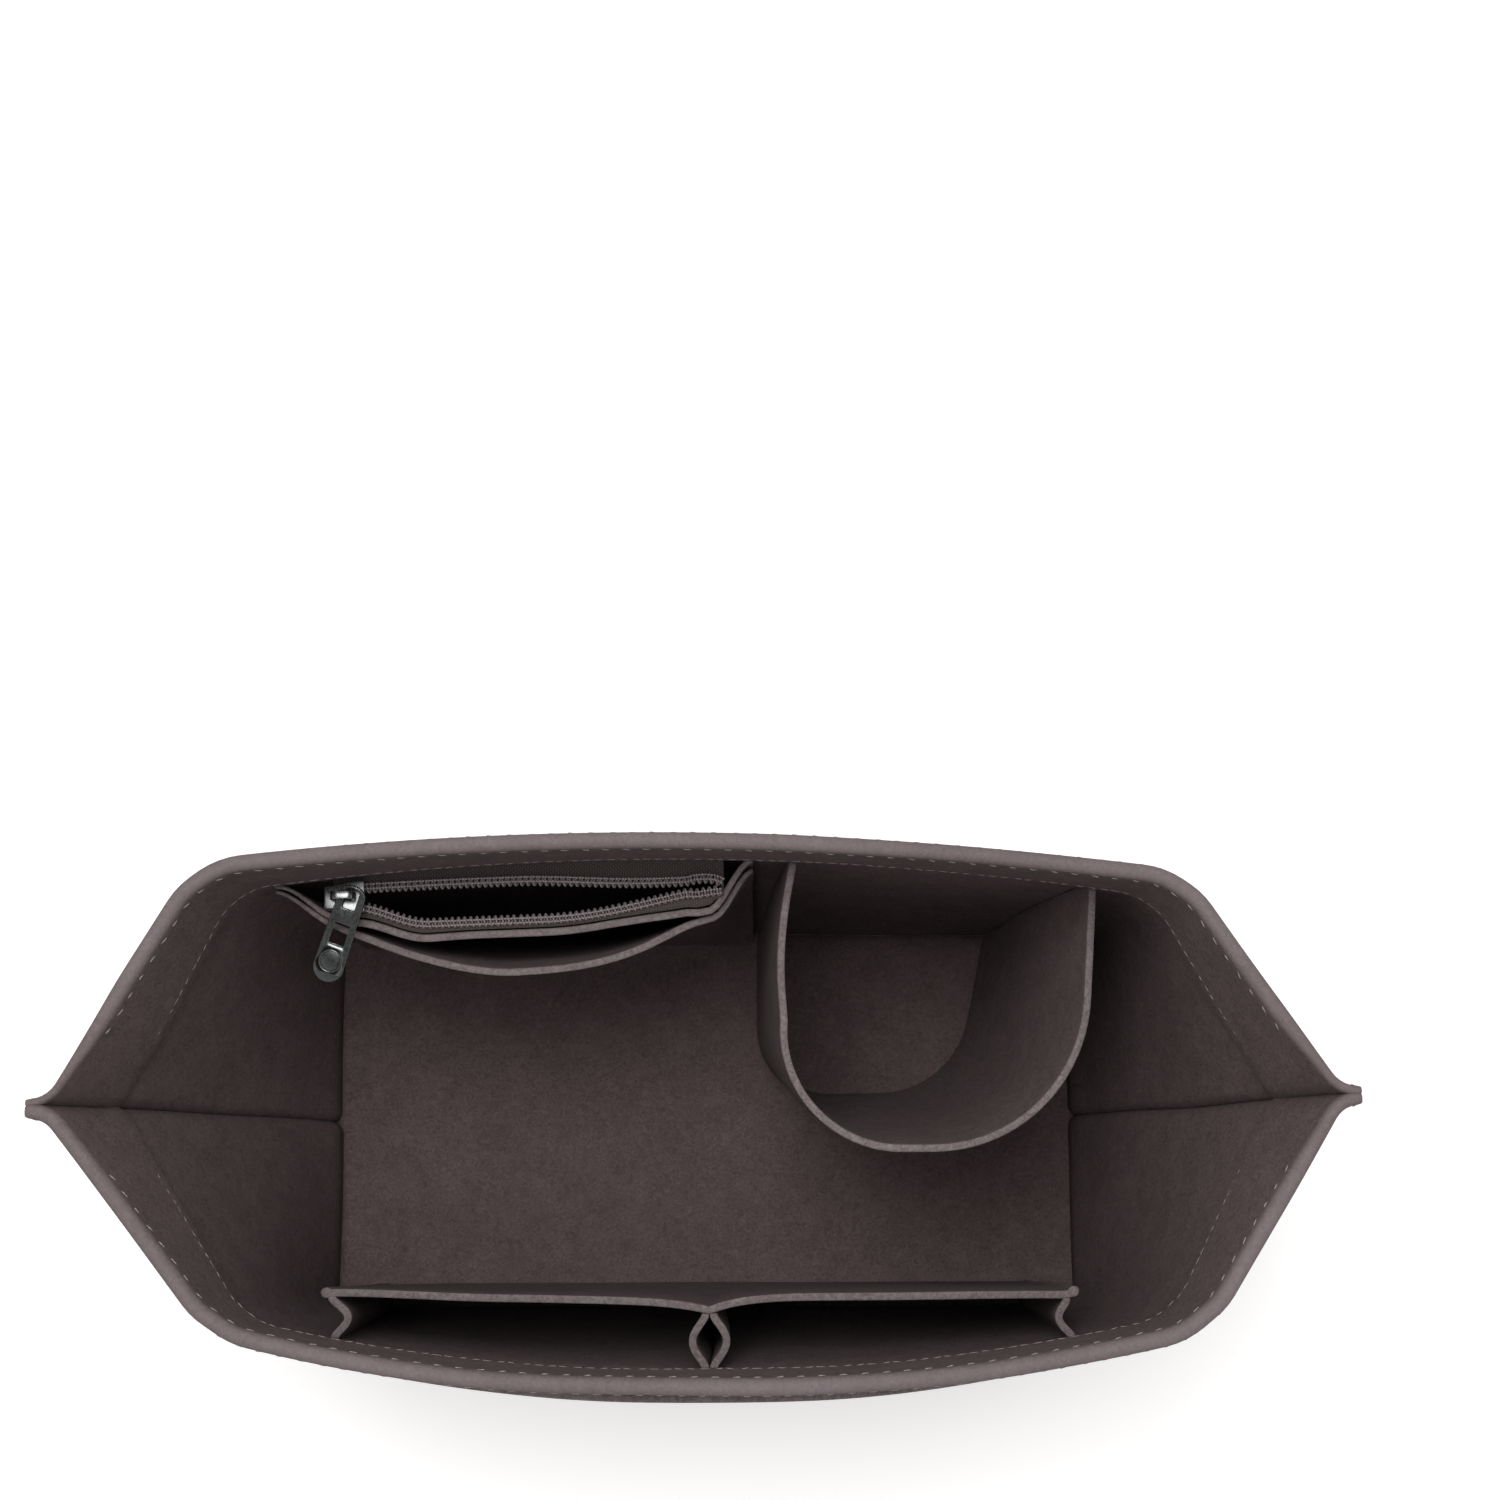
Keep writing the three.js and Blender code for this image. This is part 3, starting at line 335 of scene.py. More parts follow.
# Body halves. Each wall is one felt sheet that runs round two corners to a pinched seam at
# each end; its top is turned in over 33 mm as a hem and sewn down by two rows of thread.
HEIGHT = 165
HEM = 33
RIM_CORNER_LENGTH = 274
RIM_CORNER_DEPTH = 126
RIM_TIP_LENGTH = 357.4
RIM_CORNER_RADIUS = 22
FLOOR_TIP_RADIUS, RIM_TIP_RADIUS = 3, 9
FLOOR_TIP_ALLOWANCE, RIM_TIP_ALLOWANCE = 4.5, 5.8
SEAM_PRESS = 0.1
END_TAPER, END_TAPER_LENGTH = 0.72, 0.9
PINCH_LENGTH = 16
BACK = dict(sign=1, leans=((-3, 4), (2, -1)), bow=9.3, power=2, bulge=0.3, pinches=(0.52, 0.6))
FRONT = dict(sign=-1, leans=((6, 1.6), (3, 0.3)), bow=15.6, power=2.3, bulge=0, pinches=(0.92, 0.8))
HEM_STEP = 1
HEM_DROP, HEM_DROP_START, HEM_DROP_END = 1.5, 24, 12
WALL_START = 3
hem_shift = FELT + LAP
fold_base = HEIGHT - hem_shift / 2 - FELT / 2
hem_edge = HEIGHT - HEM
hem_levels = (hem_edge - HEM_STEP, hem_edge + HEM_STEP)


def rise_at(z):
    return float(np.clip((z - fold_top) / (fold_base - fold_top), 0, 1))


def wall_corners(side, z):
    rise = rise_at(z)
    half_length = mix(FLOOR_LENGTH + FELT, RIM_CORNER_LENGTH, rise) / 2
    half_depth = mix(FLOOR_DEPTH + FELT, RIM_CORNER_DEPTH, rise) / 2
    left, right = side["leans"]
    return (np.array([left[0] * rise - half_length, left[1] * rise + side["sign"] * half_depth]),
            np.array([right[0] * rise + half_length, right[1] * rise + side["sign"] * half_depth]))


def wall_bow(side, x, z):
    """How far a long wall bows out, which grows with height."""
    left, right = wall_corners(side, z)
    rise = rise_at(z)
    level = 1 - (1 - rise) ** 2 + side["bulge"] * 4 * rise * (1 - rise)
    share = min(1, max(-1, 2 * (x - left[0]) / (right[0] - left[0]) - 1))
    return side["sign"] * side["bow"] * level * (1 - abs(share) ** side["power"])


def wall_face(side, x, z):
    """Where a long wall's inner face stands, as Y."""
    left, right = wall_corners(side, z)
    straight = mix(left[1], right[1], (x - left[0]) / (right[0] - left[0]))
    return straight + wall_bow(side, x, z) - side["sign"] * FELT / 2


def round_corner(before, corner, after, radius, steps):
    """An arc that rounds the corner between two points in plan."""
    into = (before - corner) / np.linalg.norm(before - corner)
    out = (after - corner) / np.linalg.norm(after - corner)
    half = math.acos(max(-1, min(1, float(into @ out)))) / 2
    axis = (into + out) / np.linalg.norm(into + out)
    middle = corner + axis * radius / math.sin(half)
    first = corner + into * radius / math.tan(half) - middle
    last = corner + out * radius / math.tan(half) - middle
    turn = math.acos(max(-1, min(1, float(first @ last) / radius ** 2)))
    return [middle + (math.sin((1 - k) * turn) * first + math.sin(k * turn) * last) / math.sin(turn)
            for k in np.linspace(0, 1, steps + 1)]


def wall_section(side, z):
    """One half of the body in plan at a height, from the left seam round to the right seam."""
    left, right = wall_corners(side, z)
    rise = rise_at(z)
    tip = mix(FLOOR_LENGTH + FELT, RIM_TIP_LENGTH, rise) / 2
    end = tip + mix(FLOOR_TIP_ALLOWANCE, RIM_TIP_ALLOWANCE, rise)
    layers = side["sign"] * (FELT / 2 - SEAM_PRESS + hem_shift * smooth(z, *hem_levels))
    left_seam, right_seam = [layers * pinch for pinch in side["pinches"]]
    outer_left, tip_left = np.array([-end, left_seam * END_TAPER]), np.array([-tip, left_seam])
    tip_right, outer_right = np.array([tip, right_seam]), np.array([end, right_seam * END_TAPER])
    radius = mix(FLOOR_CORNER_RADIUS, RIM_CORNER_RADIUS, rise)
    tip_radius = mix(FLOOR_TIP_RADIUS, RIM_TIP_RADIUS, rise * rise)
    tip_arc = round_corner(outer_left, tip_left, left, tip_radius, 5)
    left_arc = round_corner(tip_left, left, right, radius, 8)
    right_arc = round_corner(left, right, tip_right, radius, 8)
    end_arc = round_corner(right, tip_right, outer_right, tip_radius, 5)

    def run(a, b, steps):
        return [mix(a, b, k) for k in np.linspace(0, 1, steps + 1)[1:-1]]

    points = ([outer_left] + run(outer_left, tip_arc[0], 3) + tip_arc + run(tip_arc[-1], left_arc[0], 12)
              + left_arc + run(left_arc[-1], right_arc[0], 48) + right_arc
              + run(right_arc[-1], end_arc[0], 12) + end_arc + run(end_arc[-1], outer_right, 3)
              + [outer_right])
    return np.array([(p[0], p[1] + wall_bow(side, p[0], z)) for p in points])


def pinch_at(side, z):
    """How thick the felt stays along a section, since the end seams press it together."""
    tip = mix(FLOOR_LENGTH + FELT, RIM_TIP_LENGTH, rise_at(z)) / 2
    end = tip + mix(FLOOR_TIP_ALLOWANCE, RIM_TIP_ALLOWANCE, rise_at(z))
    left, right = side["pinches"]
    kept = []
    for x, y in wall_section(side, z):
        pinched = mix(1, left if x < 0 else right, smooth(abs(x), tip - PINCH_LENGTH, tip))
        kept.append(pinched * mix(1, END_TAPER, max(0, 1 - (end - abs(x)) / END_TAPER_LENGTH)))
    return np.array(kept)


def wall_row(side, z, inset, level=None):
    """The section at a height moved towards the inside of the bag, as points in mm."""
    points = wall_section(side, z)
    inset = (inset * pinch_at(side, z))[:, None]
    along = np.gradient(points, axis=0)
    along /= np.linalg.norm(along, axis=1, keepdims=True)
    moved = points + side["sign"] * inset * np.stack([along[:, 1], -along[:, 0]], axis=1)
    return np.column_stack([moved, np.full(len(moved), z if level is None else level)])


def body_half(name, side):
    """One wall from the top of the floor's fold up, over the rim and down inside to the hem's edge."""
    levels = np.sort(np.append(np.linspace(fold_top + WALL_START, fold_base, 30)[1:], hem_levels))
    pinch = [pinch_at(side, z) for z in levels]
    pinch = [pinch[0]] * 2 + pinch + [pinch[-1]] * 17
    first = wall_row(side, FELT + 2 * LAP, 0)
    second = wall_row(side, fold_top + 2 * LAP, 0)
    on_fold = np.abs(first[:, 0]) < fold_half + 1
    on_fold &= np.abs(first[:, 1]) > middle_depth - FLOOR_CORNER_RADIUS
    foot = np.where(on_fold[:, None], second, first)
    lifted = np.array(second)
    lifted[:, 2] = fold_top + WALL_START
    rows = [foot, lifted] + [wall_row(side, z, 0) for z in levels]
    radius = hem_shift / 2
    for turn in np.linspace(0, math.pi, 9)[1:]:
        rows.append(wall_row(side, fold_base, radius * (1 - math.cos(turn)),
                             fold_base + radius * math.sin(turn)))
    rows += [wall_row(side, z, hem_shift) for z in np.linspace(fold_base, hem_edge, 10)[1:]]
    half_rim = RIM_TIP_LENGTH / 2
    from_middle = np.abs(rows[-1][:, 0])
    rows[-1][:, 2] -= HEM_DROP * smooth(from_middle, half_rim - HEM_DROP_START, half_rim - HEM_DROP_END)
    if side["sign"] < 0:
        rows, pinch = rows[::-1], pinch[::-1]
    return felt_sheet(name, rows, FELT * np.array(pinch)[:, :, None])


for name, side, node in (("back_half_felt", BACK, "body_back_half"),
                         ("front_half_felt", FRONT, "body_front_half")):
    half = body_half(name, side)
    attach(half, "insert")
    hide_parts(node)

# Outer pocket. A felt panel sewn on three sides to the outside of the front wall, its
# top edge left open about a hem's width below the rim.
OUTER_LEFT, OUTER_RIGHT = -91, 100
OUTER_BOTTOM, OUTER_TOP = 22, 135
OUTER_SLACK = 1.8


def outer_pocket_y(x, z):
    share = 2 * (x - OUTER_LEFT) / (OUTER_RIGHT - OUTER_LEFT) - 1
    lift = (z - OUTER_BOTTOM) / (OUTER_TOP - OUTER_BOTTOM)
    return wall_face(FRONT, x, z) - FELT - FELT / 2 - 2 * LAP - OUTER_SLACK * lift * (1 - share * share)


rows = [[(x, outer_pocket_y(x, z), z) for x in np.linspace(OUTER_LEFT, OUTER_RIGHT, 50)]
        for z in np.linspace(OUTER_TOP, OUTER_BOTTOM, 36)]
outer_pocket = felt_sheet("outer_pocket_felt", rows)
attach(outer_pocket, "insert")
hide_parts("outer_pocket_panel")

# Back pockets. The zip pocket's felt panel carries the front of the zip along its top edge;
# the taller-mouthed slip pocket lies in front and is caught in the same side seams.
POCKET_TOP_LEFT, POCKET_BOTTOM_LEFT, POCKET_RIGHT = -125.5, -117, 17
POCKET_BOTTOM = 14
ZIP_HEIGHT = 127
SLIP_TOP = 122
SLIP_SLACK, SLIP_POWER_LEFT, SLIP_POWER_RIGHT = 32, 1.7, 2.7
SLIP_TAUT, TAUT_START, TAUT_END = 1.9, 12, 30
SLIP_EASE = 5
SLIP_LIFT, LIFT_START, LIFT_END = 4.3, 6, 30
LAYER_GAP = 0.14
PRESSED_LEFT, PRESS_START, PRESS_END = 0.5, 2, 26
PRESSED_RIGHT, PRESS_LENGTH = 0.7, 16
TAPE = 0.5
SLIDER_X, SLIDER_Y = -103.6, 61.495
ZIP_TURN = math.radians(1.76)
SLIDER_LENGTH = 12
SPLIT_HALF, SPLIT_START, SPLIT_END = 1.5, -4, 3
STOP_GAP, STOP_START, STOP_END = 0.7, -3, 1
FRONT_BOW, BOW_GROWS, BOW_ENDS = 7.4, (2, 25), (59, 116)
BACK_END, BACK_REST, BACK_FALLS = 4, 0.6, (-52, -9)
CURL_START, CURL_LENGTH, CURL_DROP, CURL_LIMIT = 3, 5.5, 3, 0.97
LEAN_LEFT, LEAN_RIGHT = 20, 13
SEAM_WIDE, SEAM_CLOSE, SEAM_CLOSES, SEAM_WIDENS = 5.7, 4.9, (SLIDER_LENGTH, 40), (76, 94)
SEAM_EXTRA, EXTRA_GROWS = 0.9, (87, 102)
zip_panel_top = ZIP_HEIGHT - TAPE / 2 - LAP


def slide_path(x):
    return SLIDER_Y + math.tan(ZIP_TURN) * (x - SLIDER_X)


def spread_at(x):
    return smooth(x - SLIDER_X, SPLIT_START, SPLIT_END)


def stopped_at(x):
    """How far each coil stays from the slider's path at its closed end, where the slider's post stops."""
    return STOP_GAP * smooth(x, STOP_START, STOP_END)


def front_line(x):
    """Plan of the front coil's head line, drawn out in a bow where the zip is open."""
    run = x - SLIDER_X
    rest = 1 - smooth(run, *BOW_ENDS)
    bowed = smooth(run, *BOW_GROWS) * rest
    return slide_path(x) - stopped_at(x) - FRONT_BOW * bowed - SPLIT_HALF * spread_at(x) * (1 - bowed) * rest


def back_line(x):
    """Plan of the back coil's head line, which bends down to the front one where the zip ends."""
    share = min(1, max(0, (x - SLIDER_X) / (BACK_END - SLIDER_X)))
    ending = min(CURL_LIMIT, max(0, (x - CURL_START) / CURL_LENGTH))
    lifted = spread_at(x) * (1 - smooth(x, *BACK_FALLS))
    lift = lifted * (mix(SPLIT_HALF, BACK_REST, share) + 4 * share * (1 - share))
    return slide_path(x) + stopped_at(x) + lift - CURL_DROP * (1 - math.sqrt(1 - ending * ending))


def pocket_span(z):
    lift = (z - POCKET_BOTTOM) / (ZIP_HEIGHT - POCKET_BOTTOM)
    return mix(POCKET_BOTTOM_LEFT, POCKET_TOP_LEFT, lift), POCKET_RIGHT


def zip_panel_y(x, z):
    """Middle of the zip pocket's felt, which leans from its foot on the wall out to the front coil."""
    left, right = pocket_span(z)
    lift = (z - POCKET_BOTTOM) / (zip_panel_top - POCKET_BOTTOM)
    on_wall = wall_face(BACK, x, z) - FELT / 2 - LAP
    ramps = smooth(x, left, left + LEAN_LEFT) * (1 - smooth(x, right - LEAN_RIGHT, right))
    run = x - SLIDER_X
    closeness = smooth(run, *SEAM_CLOSES) * (1 - smooth(run, *SEAM_WIDENS))
    seam = mix(SEAM_WIDE, SEAM_CLOSE, closeness) + SEAM_EXTRA * smooth(run, *EXTRA_GROWS)
    return mix(on_wall, front_line(x) - seam, lift * ramps)


def slant_shift(place, x, z, distance):
    slope = (place(x + FELT, z) - place(x - FELT, z)) / (2 * FELT)
    return distance * math.hypot(1, slope)


def pressed_at(x, z):
    """The share of their thickness that the two pocket layers keep where the side seams press them."""
    left, right = pocket_span(z)
    return (mix(PRESSED_LEFT, 1, smooth(x, left + PRESS_START, left + PRESS_END))
            * mix(1, PRESSED_RIGHT, smooth(x, right - PRESS_LENGTH, right)))


def pressed_thickness(rows):
    return FELT * np.array([[[pressed_at(x, z)] for x, y, z in row] for row in rows])


def slip_y(x, z):
    """Middle of the slip pocket's felt, which hangs slack but never passes through the zip pocket's."""
    left, right = pocket_span(z)
    share = 2 * (x - left) / (right - left) - 1
    lift = (z - POCKET_BOTTOM) / (SLIP_TOP - POCKET_BOTTOM)
    taut = SLIP_TAUT * (1 - smooth(x, left + TAUT_START, left + TAUT_END))
    slack = SLIP_SLACK * (1 - abs(share) ** (SLIP_POWER_RIGHT if share > 0 else SLIP_POWER_LEFT)) - taut
    free = wall_face(BACK, x, z) - FELT / 2 - LAP - slack * lift
    touching = zip_panel_y(x, z) - slant_shift(zip_panel_y, x, z, (FELT + LAYER_GAP) * pressed_at(x, z))
    apart = max(0, 1 - abs(free - touching) / SLIP_EASE)
    return min(free, touching) - SLIP_EASE * apart * apart / 4


rows = []
for lift in np.linspace(1, 0, 34):
    left, right = pocket_span(mix(POCKET_BOTTOM, SLIP_TOP, lift))
    row = []
    for x in np.linspace(left, right, 72):
        top = SLIP_TOP + SLIP_LIFT * (1 - smooth(x, left + LIFT_START, left + LIFT_END))
        z = mix(POCKET_BOTTOM, top, lift)
        row.append((x, slip_y(x, z), z))
    rows.append(row)
slip_pocket = felt_sheet("slip_pocket_felt", rows, pressed_thickness(rows))
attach(slip_pocket, "insert")
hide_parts("slip_pocket_panel")

# The zip pocket's panel is made in two halves, each of which runs from its sewn end to the
# middle of the pocket's mouth.
DRAW_MIDDLE = -52.5


def draw_in(piece):
    """Bakes the piece's place into its mesh."""
    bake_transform(piece)


for name, sign in (("zip_pocket_felt_left", 1), ("zip_pocket_felt_right", -1)):
    rows = []
    for z in np.linspace(zip_panel_top, POCKET_BOTTOM, 34):
        left, right = pocket_span(z)
        xs = np.linspace(left, DRAW_MIDDLE, 40) if sign > 0 else np.linspace(DRAW_MIDDLE, right, 40)
        rows.append([(x, zip_panel_y(x, z), z) for x in xs])
    panel = felt_sheet(name, rows, pressed_thickness(rows), open_left=sign < 0, open_right=sign > 0)
    draw_in(panel)
    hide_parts("zip_pocket_panel")

# Zip tapes. Woven polyester tape, half a millimetre thick; the back one turns up into the
# hem and the front one turns down behind the pocket's felt, each under a row of thread.
ZIP_LEFT, ZIP_RIGHT = -107.5, 8.4
TAPE_BEND = 1.2
TAPE_REACH = 2.7
TAPE_DROP = 9
TAPE_ROUNDING = 0.12
BEND_SHARE, BEND_DROP = 0.75, 0.3


def woven_tape():
    """Woven polyester. The weft crosses the warp in ribs of about 0.7 mm, which glint a little along
    the tape; its colour paints the ribs paler as a highlight and the hollows between them darker as shade,
    and both its colours are kept dark as painted shade under the hem; the smooth yarn makes it silkier than
    the felt."""
    material, tree = new_material("woven polyester tape")
    weft = pattern(tree, "ShaderNodeTexWave", 420, {"Distortion": 0.6, "Detail": 1}, bands_direction="X")
    warp = pattern(tree, "ShaderNodeTexWave", 520, {"Distortion": 0.4, "Detail": 1},
                   bands_direction="DIAGONAL")
    # Painted light: the weave paints the ribs paler as a highlight and the hollows darker as shade, and both
    # colours are darkened as painted shade under the hem.
    weave_and_painted_shade = compute(tree, "MULTIPLY", weft, warp)
    return coat(material, {"Roughness": 0.75, "Specular IOR Level": 0.35, "Sheen Weight": 0.2,
                           "Base Color": mix_nodes(tree, weave_and_painted_shade, linear("#3d3432"), linear("#605351")),
                           "Normal": bumped(tree, weave_and_painted_shade, 0.6, 0.0003)})


tape_material = woven_tape()
tape_look = dict(thickness=TAPE, materials=[tape_material, tape_material], rounded=TAPE_ROUNDING)


def tape_rows(sign, line, carrier, turned_edge, first, last, columns):
    """A tape from under its coil to its sewn edge, which turns up or down along what carries it."""
    bend = math.copysign(TAPE_BEND, turned_edge - ZIP_HEIGHT)
    rows = [[] for _ in range(6)]
    for x in np.linspace(first, last, columns):
        beside = line(x) + sign * TAPE_REACH
        edge = carrier(x, ZIP_HEIGHT)
        bend_start = sign * max(sign * (edge - sign * TAPE_BEND), sign * beside + LAP)
        places = [(line(x) + sign * LAP, ZIP_HEIGHT), (beside, ZIP_HEIGHT), (bend_start, ZIP_HEIGHT),
                  (mix(bend_start, edge, BEND_SHARE), ZIP_HEIGHT + bend * BEND_DROP),
                  (edge, ZIP_HEIGHT + bend), (carrier(x, turned_edge), turned_edge)]
        for row, (y, z) in zip(rows, places):
            row.append((x, y, z))
    return rows


def back_carrier(x, z):
    return wall_face(BACK, x, z) - LAP - TAPE / 2


def front_carrier(x, z):
    level = min(z, zip_panel_top)
    return zip_panel_y(x, level) + slant_shift(zip_panel_y, x, level, (FELT + TAPE) / 2 + 2 * LAP)


rows = tape_rows(1, back_line, back_carrier, hem_edge + 3, ZIP_LEFT, ZIP_RIGHT, 90)
tape = felt_sheet("zip_tape_back_woven", rows, **tape_look)
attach(tape, "insert")
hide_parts("zip_tape_back")
for name, sign, first, last in (("zip_tape_front_left", 1, ZIP_LEFT, DRAW_MIDDLE),
                                ("zip_tape_front_right", -1, DRAW_MIDDLE, ZIP_RIGHT)):
    rows = tape_rows(-1, front_line, front_carrier, ZIP_HEIGHT - TAPE_DROP, first, last, 46)
    tape = felt_sheet(name, rows, open_left=sign < 0, open_right=sign > 0, **tape_look)
    draw_in(tape)
    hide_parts("zip_tape_front")

# Zip coils. Each is one nylon monofilament wound flat into loops 1.8 mm apart and sewn down on its
# tape by two rows of chain stitch; the heads of the two coils sit half a pitch apart.
COIL_WIDTH, COIL_HEIGHT = 3, 2
COIL_PITCH, COIL_WIRE = 1.82, 0.74
COIL_OVERLAP, COIL_BODY = 1.3, 3.5
COIL_LIFT, COIL_PRESS, COIL_SQUARENESS = 0.35, 0.3, 0.7
CHAIN_ROWS, CHAIN_SINK = (0.75, 2.1), 0.4
STITCH_SLEW = Vector((0.1, 0.1, 0.16))
coil_level = ZIP_HEIGHT + TAPE / 2 + COIL_LIFT
chain_level = coil_level + COIL_HEIGHT - CHAIN_SINK
coil_middle = (COIL_BODY - COIL_OVERLAP) / 2


def new_group(name, numbers, result):
    """A Geometry Nodes tree that takes lines, some numbers and a material."""
    tree = bpy.data.node_groups.new(name, "GeometryNodeTree")
    sockets = [("Line", "INPUT", "Geometry")] + [(number, "INPUT", "Float") for number in numbers]
    sockets += [("Material", "INPUT", "Material"), (result, "OUTPUT", "Geometry")]
    for label, in_out, kind in sockets:
        tree.interface.new_socket(label, in_out=in_out, socket_type="NodeSocket" + kind)
    given = add_node(tree, "NodeGroupInput").outputs
    return tree, given, add_node(tree, "GeometryNodeMeshToCurve", {0: given["Line"]})


def finish_group(tree, shape, material):
    real = add_node(tree, "GeometryNodeRealizeInstances", {0: shape})
    painted = add_node(tree, "GeometryNodeSetMaterial", {0: real, "Material": material})
    add_node(tree, "NodeGroupOutput", {0: painted})
    return tree


def coil_tree():
    """Winds a flattened helix along the incoming line."""
    tree, given, line = new_group("wound coil", ("Pitch", "Width", "Height", "Wire", "Shift"), "Coil")
    length = add_node(tree, "GeometryNodeCurveLength", {0: line})
    helix = add_node(tree, "GeometryNodeCurveSpiral",
                     {"Resolution": 14, "Start Radius": 1.0, "End Radius": 1.0, "Height": length,
                      "Rotations": compute(tree, "DIVIDE", length, given["Pitch"])})
    spot = add_node(tree, "ShaderNodeSeparateXYZ", {0: add_node(tree, "GeometryNodeInputPosition")}).outputs
    on_line = add_node(tree, "GeometryNodeSampleCurve", {0: line, "Length": spot["Z"]}, mode="LENGTH",
                       data_type="FLOAT").outputs
    sideways = compute(tree, "CROSS_PRODUCT", on_line["Tangent"], (0, 0, 1), kind="ShaderNodeVectorMath")
    boxy = compute(tree, "POWER", compute(tree, "ABSOLUTE", spot["X"]), COIL_SQUARENESS)
    across = compute(tree, "MULTIPLY", boxy, compute(tree, "SIGN", spot["X"]))
    half_width = compute(tree, "MULTIPLY", given["Width"], 0.5)
    offset = compute(tree, "MULTIPLY_ADD", across, half_width, given["Shift"])
    half_height = compute(tree, "MULTIPLY", given["Height"], 0.5)
    above = compute(tree, "MULTIPLY_ADD", spot["Y"], half_height, half_height)
    raised = add_node(tree, "ShaderNodeCombineXYZ", {"Z": above})
    out = add_node(tree, "ShaderNodeVectorMath", {0: sideways, "Scale": offset}, operation="SCALE")
    base = compute(tree, "ADD", on_line["Position"], out, kind="ShaderNodeVectorMath")
    place = compute(tree, "ADD", base, raised, kind="ShaderNodeVectorMath")
    wound = add_node(tree, "GeometryNodeSetPosition", {0: helix, "Position": place})
    wire = add_node(tree, "GeometryNodeCurvePrimitiveCircle",
                    {"Resolution": 6, "Radius": compute(tree, "MULTIPLY", given["Wire"], 0.5)})
    drawn = add_node(tree, "GeometryNodeCurveToMesh",
                     {"Curve": wound, "Profile Curve": wire, "Fill Caps": True})
    return finish_group(tree, drawn, given["Material"])


def stitch_tree():
    """Sets a short sunk thread on the incoming lines at even steps."""
    tree, given, line = new_group("row of stitches", ("Step", "Length", "Thread", "Slant"), "Stitches")
    spots = add_node(tree, "GeometryNodeResampleCurve", {0: line, "Length": given["Step"]}, mode="LENGTH")
    along = add_node(tree, "GeometryNodeInputTangent")
    aligned = add_node(tree, "FunctionNodeAlignRotationToVector", {"Vector": along}, axis="X")
    slew = add_node(tree, "FunctionNodeRandomValue", {0: -STITCH_SLEW, 1: STITCH_SLEW, "Seed": 7},
                    data_type="FLOAT_VECTOR")
    slant = add_node(tree, "ShaderNodeCombineXYZ", {"Y": given["Slant"]})
    slewed = compute(tree, "ADD", slew, slant, kind="ShaderNodeVectorMath")
    turned = add_node(tree, "FunctionNodeEulerToRotation", {0: slewed})
    rotation = add_node(tree, "FunctionNodeRotateRotation", {0: aligned, 1: turned}, rotation_space="LOCAL")
    ball = add_node(tree, "GeometryNodeMeshUVSphere", {"Segments": 8, "Rings": 5, "Radius": 0.5})
    upright = add_node(tree, "GeometryNodeTransform", {0: ball, "Rotation": (0, math.pi / 2, 0)})
    size = add_node(tree, "ShaderNodeCombineXYZ",
                    {"X": given["Length"], "Y": given["Thread"], "Z": given["Thread"]})
    placed = add_node(tree, "GeometryNodeInstanceOnPoints",
                      {"Points": spots, "Instance": upright, "Rotation": rotation, "Scale": size})
    return finish_group(tree, placed, given["Material"])


def grow(name, lines_mm, tree, inputs):
    """Runs a tree on lines of points in mm and keeps the result as a plain mesh."""
    verts, edges = [], []
    for line in lines_mm:
        start = len(verts)
        verts += [tuple(p) for p in np.array(line) * MM]
        edges += [(start + k, start + k + 1) for k in range(len(line) - 1)]
    mesh = bpy.data.meshes.new(name)
    mesh.from_pydata(verts, edges, [])
    piece = show(name, mesh)
    modifier = piece.modifiers.new(tree.name, "NODES")
    modifier.node_group = tree
    ids = {item.name: item.identifier for item in tree.interface.items_tree if item.in_out == "INPUT"}
    for socket, value in inputs.items():
        modifier[ids[socket]] = value
    piece = bake(piece)
    piece.data.polygons.foreach_set("use_smooth", [True] * len(piece.data.polygons))
    return piece


def nylon():
    """Dyed nylon monofilament. Drawn through a die, it is smooth, so each loop carries a soft plastic
    gleam, and the dye takes a little unevenly along it."""
    material, tree = new_material("nylon monofilament")
    tone = pattern(tree, "ShaderNodeTexNoise", 300, {"Detail": 2})
    return coat(material, {"Roughness": 0.38, "IOR": 1.53, "Coat Weight": 0.1,
                           "Base Color": mix_nodes(tree, tone, linear("#665b5c"), linear("#7f7476"))})


def spun_thread():
    """Spun polyester thread. Short fibres twisted together scatter the light, so it is nearly matt,
    and the twist shows as fine slanted bands with a slight sheen."""
    material, tree = new_material("spun polyester thread")
    twist = pattern(tree, "ShaderNodeTexWave", 900, {"Distortion": 0.8}, bands_direction="DIAGONAL")
    return coat(material, {"Roughness": 0.6, "Sheen Weight": 0.3,
                           "Base Color": mix_nodes(tree, twist, linear("#857a79"), linear("#aca19f")),
                           "Normal": bumped(tree, twist, 0.4, 0.0002)})


coils, stitches = coil_tree(), stitch_tree()
coil_material, thread_material = nylon(), spun_thread()
coil_settings = {"Pitch": COIL_PITCH * MM, "Width": (COIL_BODY - COIL_WIRE) * MM, "Wire": COIL_WIRE * MM,
                 "Height": (COIL_HEIGHT - COIL_PRESS - COIL_WIRE) * MM, "Material": coil_material}
chain_settings = {"Step": COIL_PITCH / 2 * MM, "Length": 1.0 * MM, "Thread": 0.56 * MM, "Slant": 0.75,
                  "Material": thread_material}


def coil_line(line, first, last):
    return [(x, line(x), coil_level) for x in np.linspace(first, last, 60)]


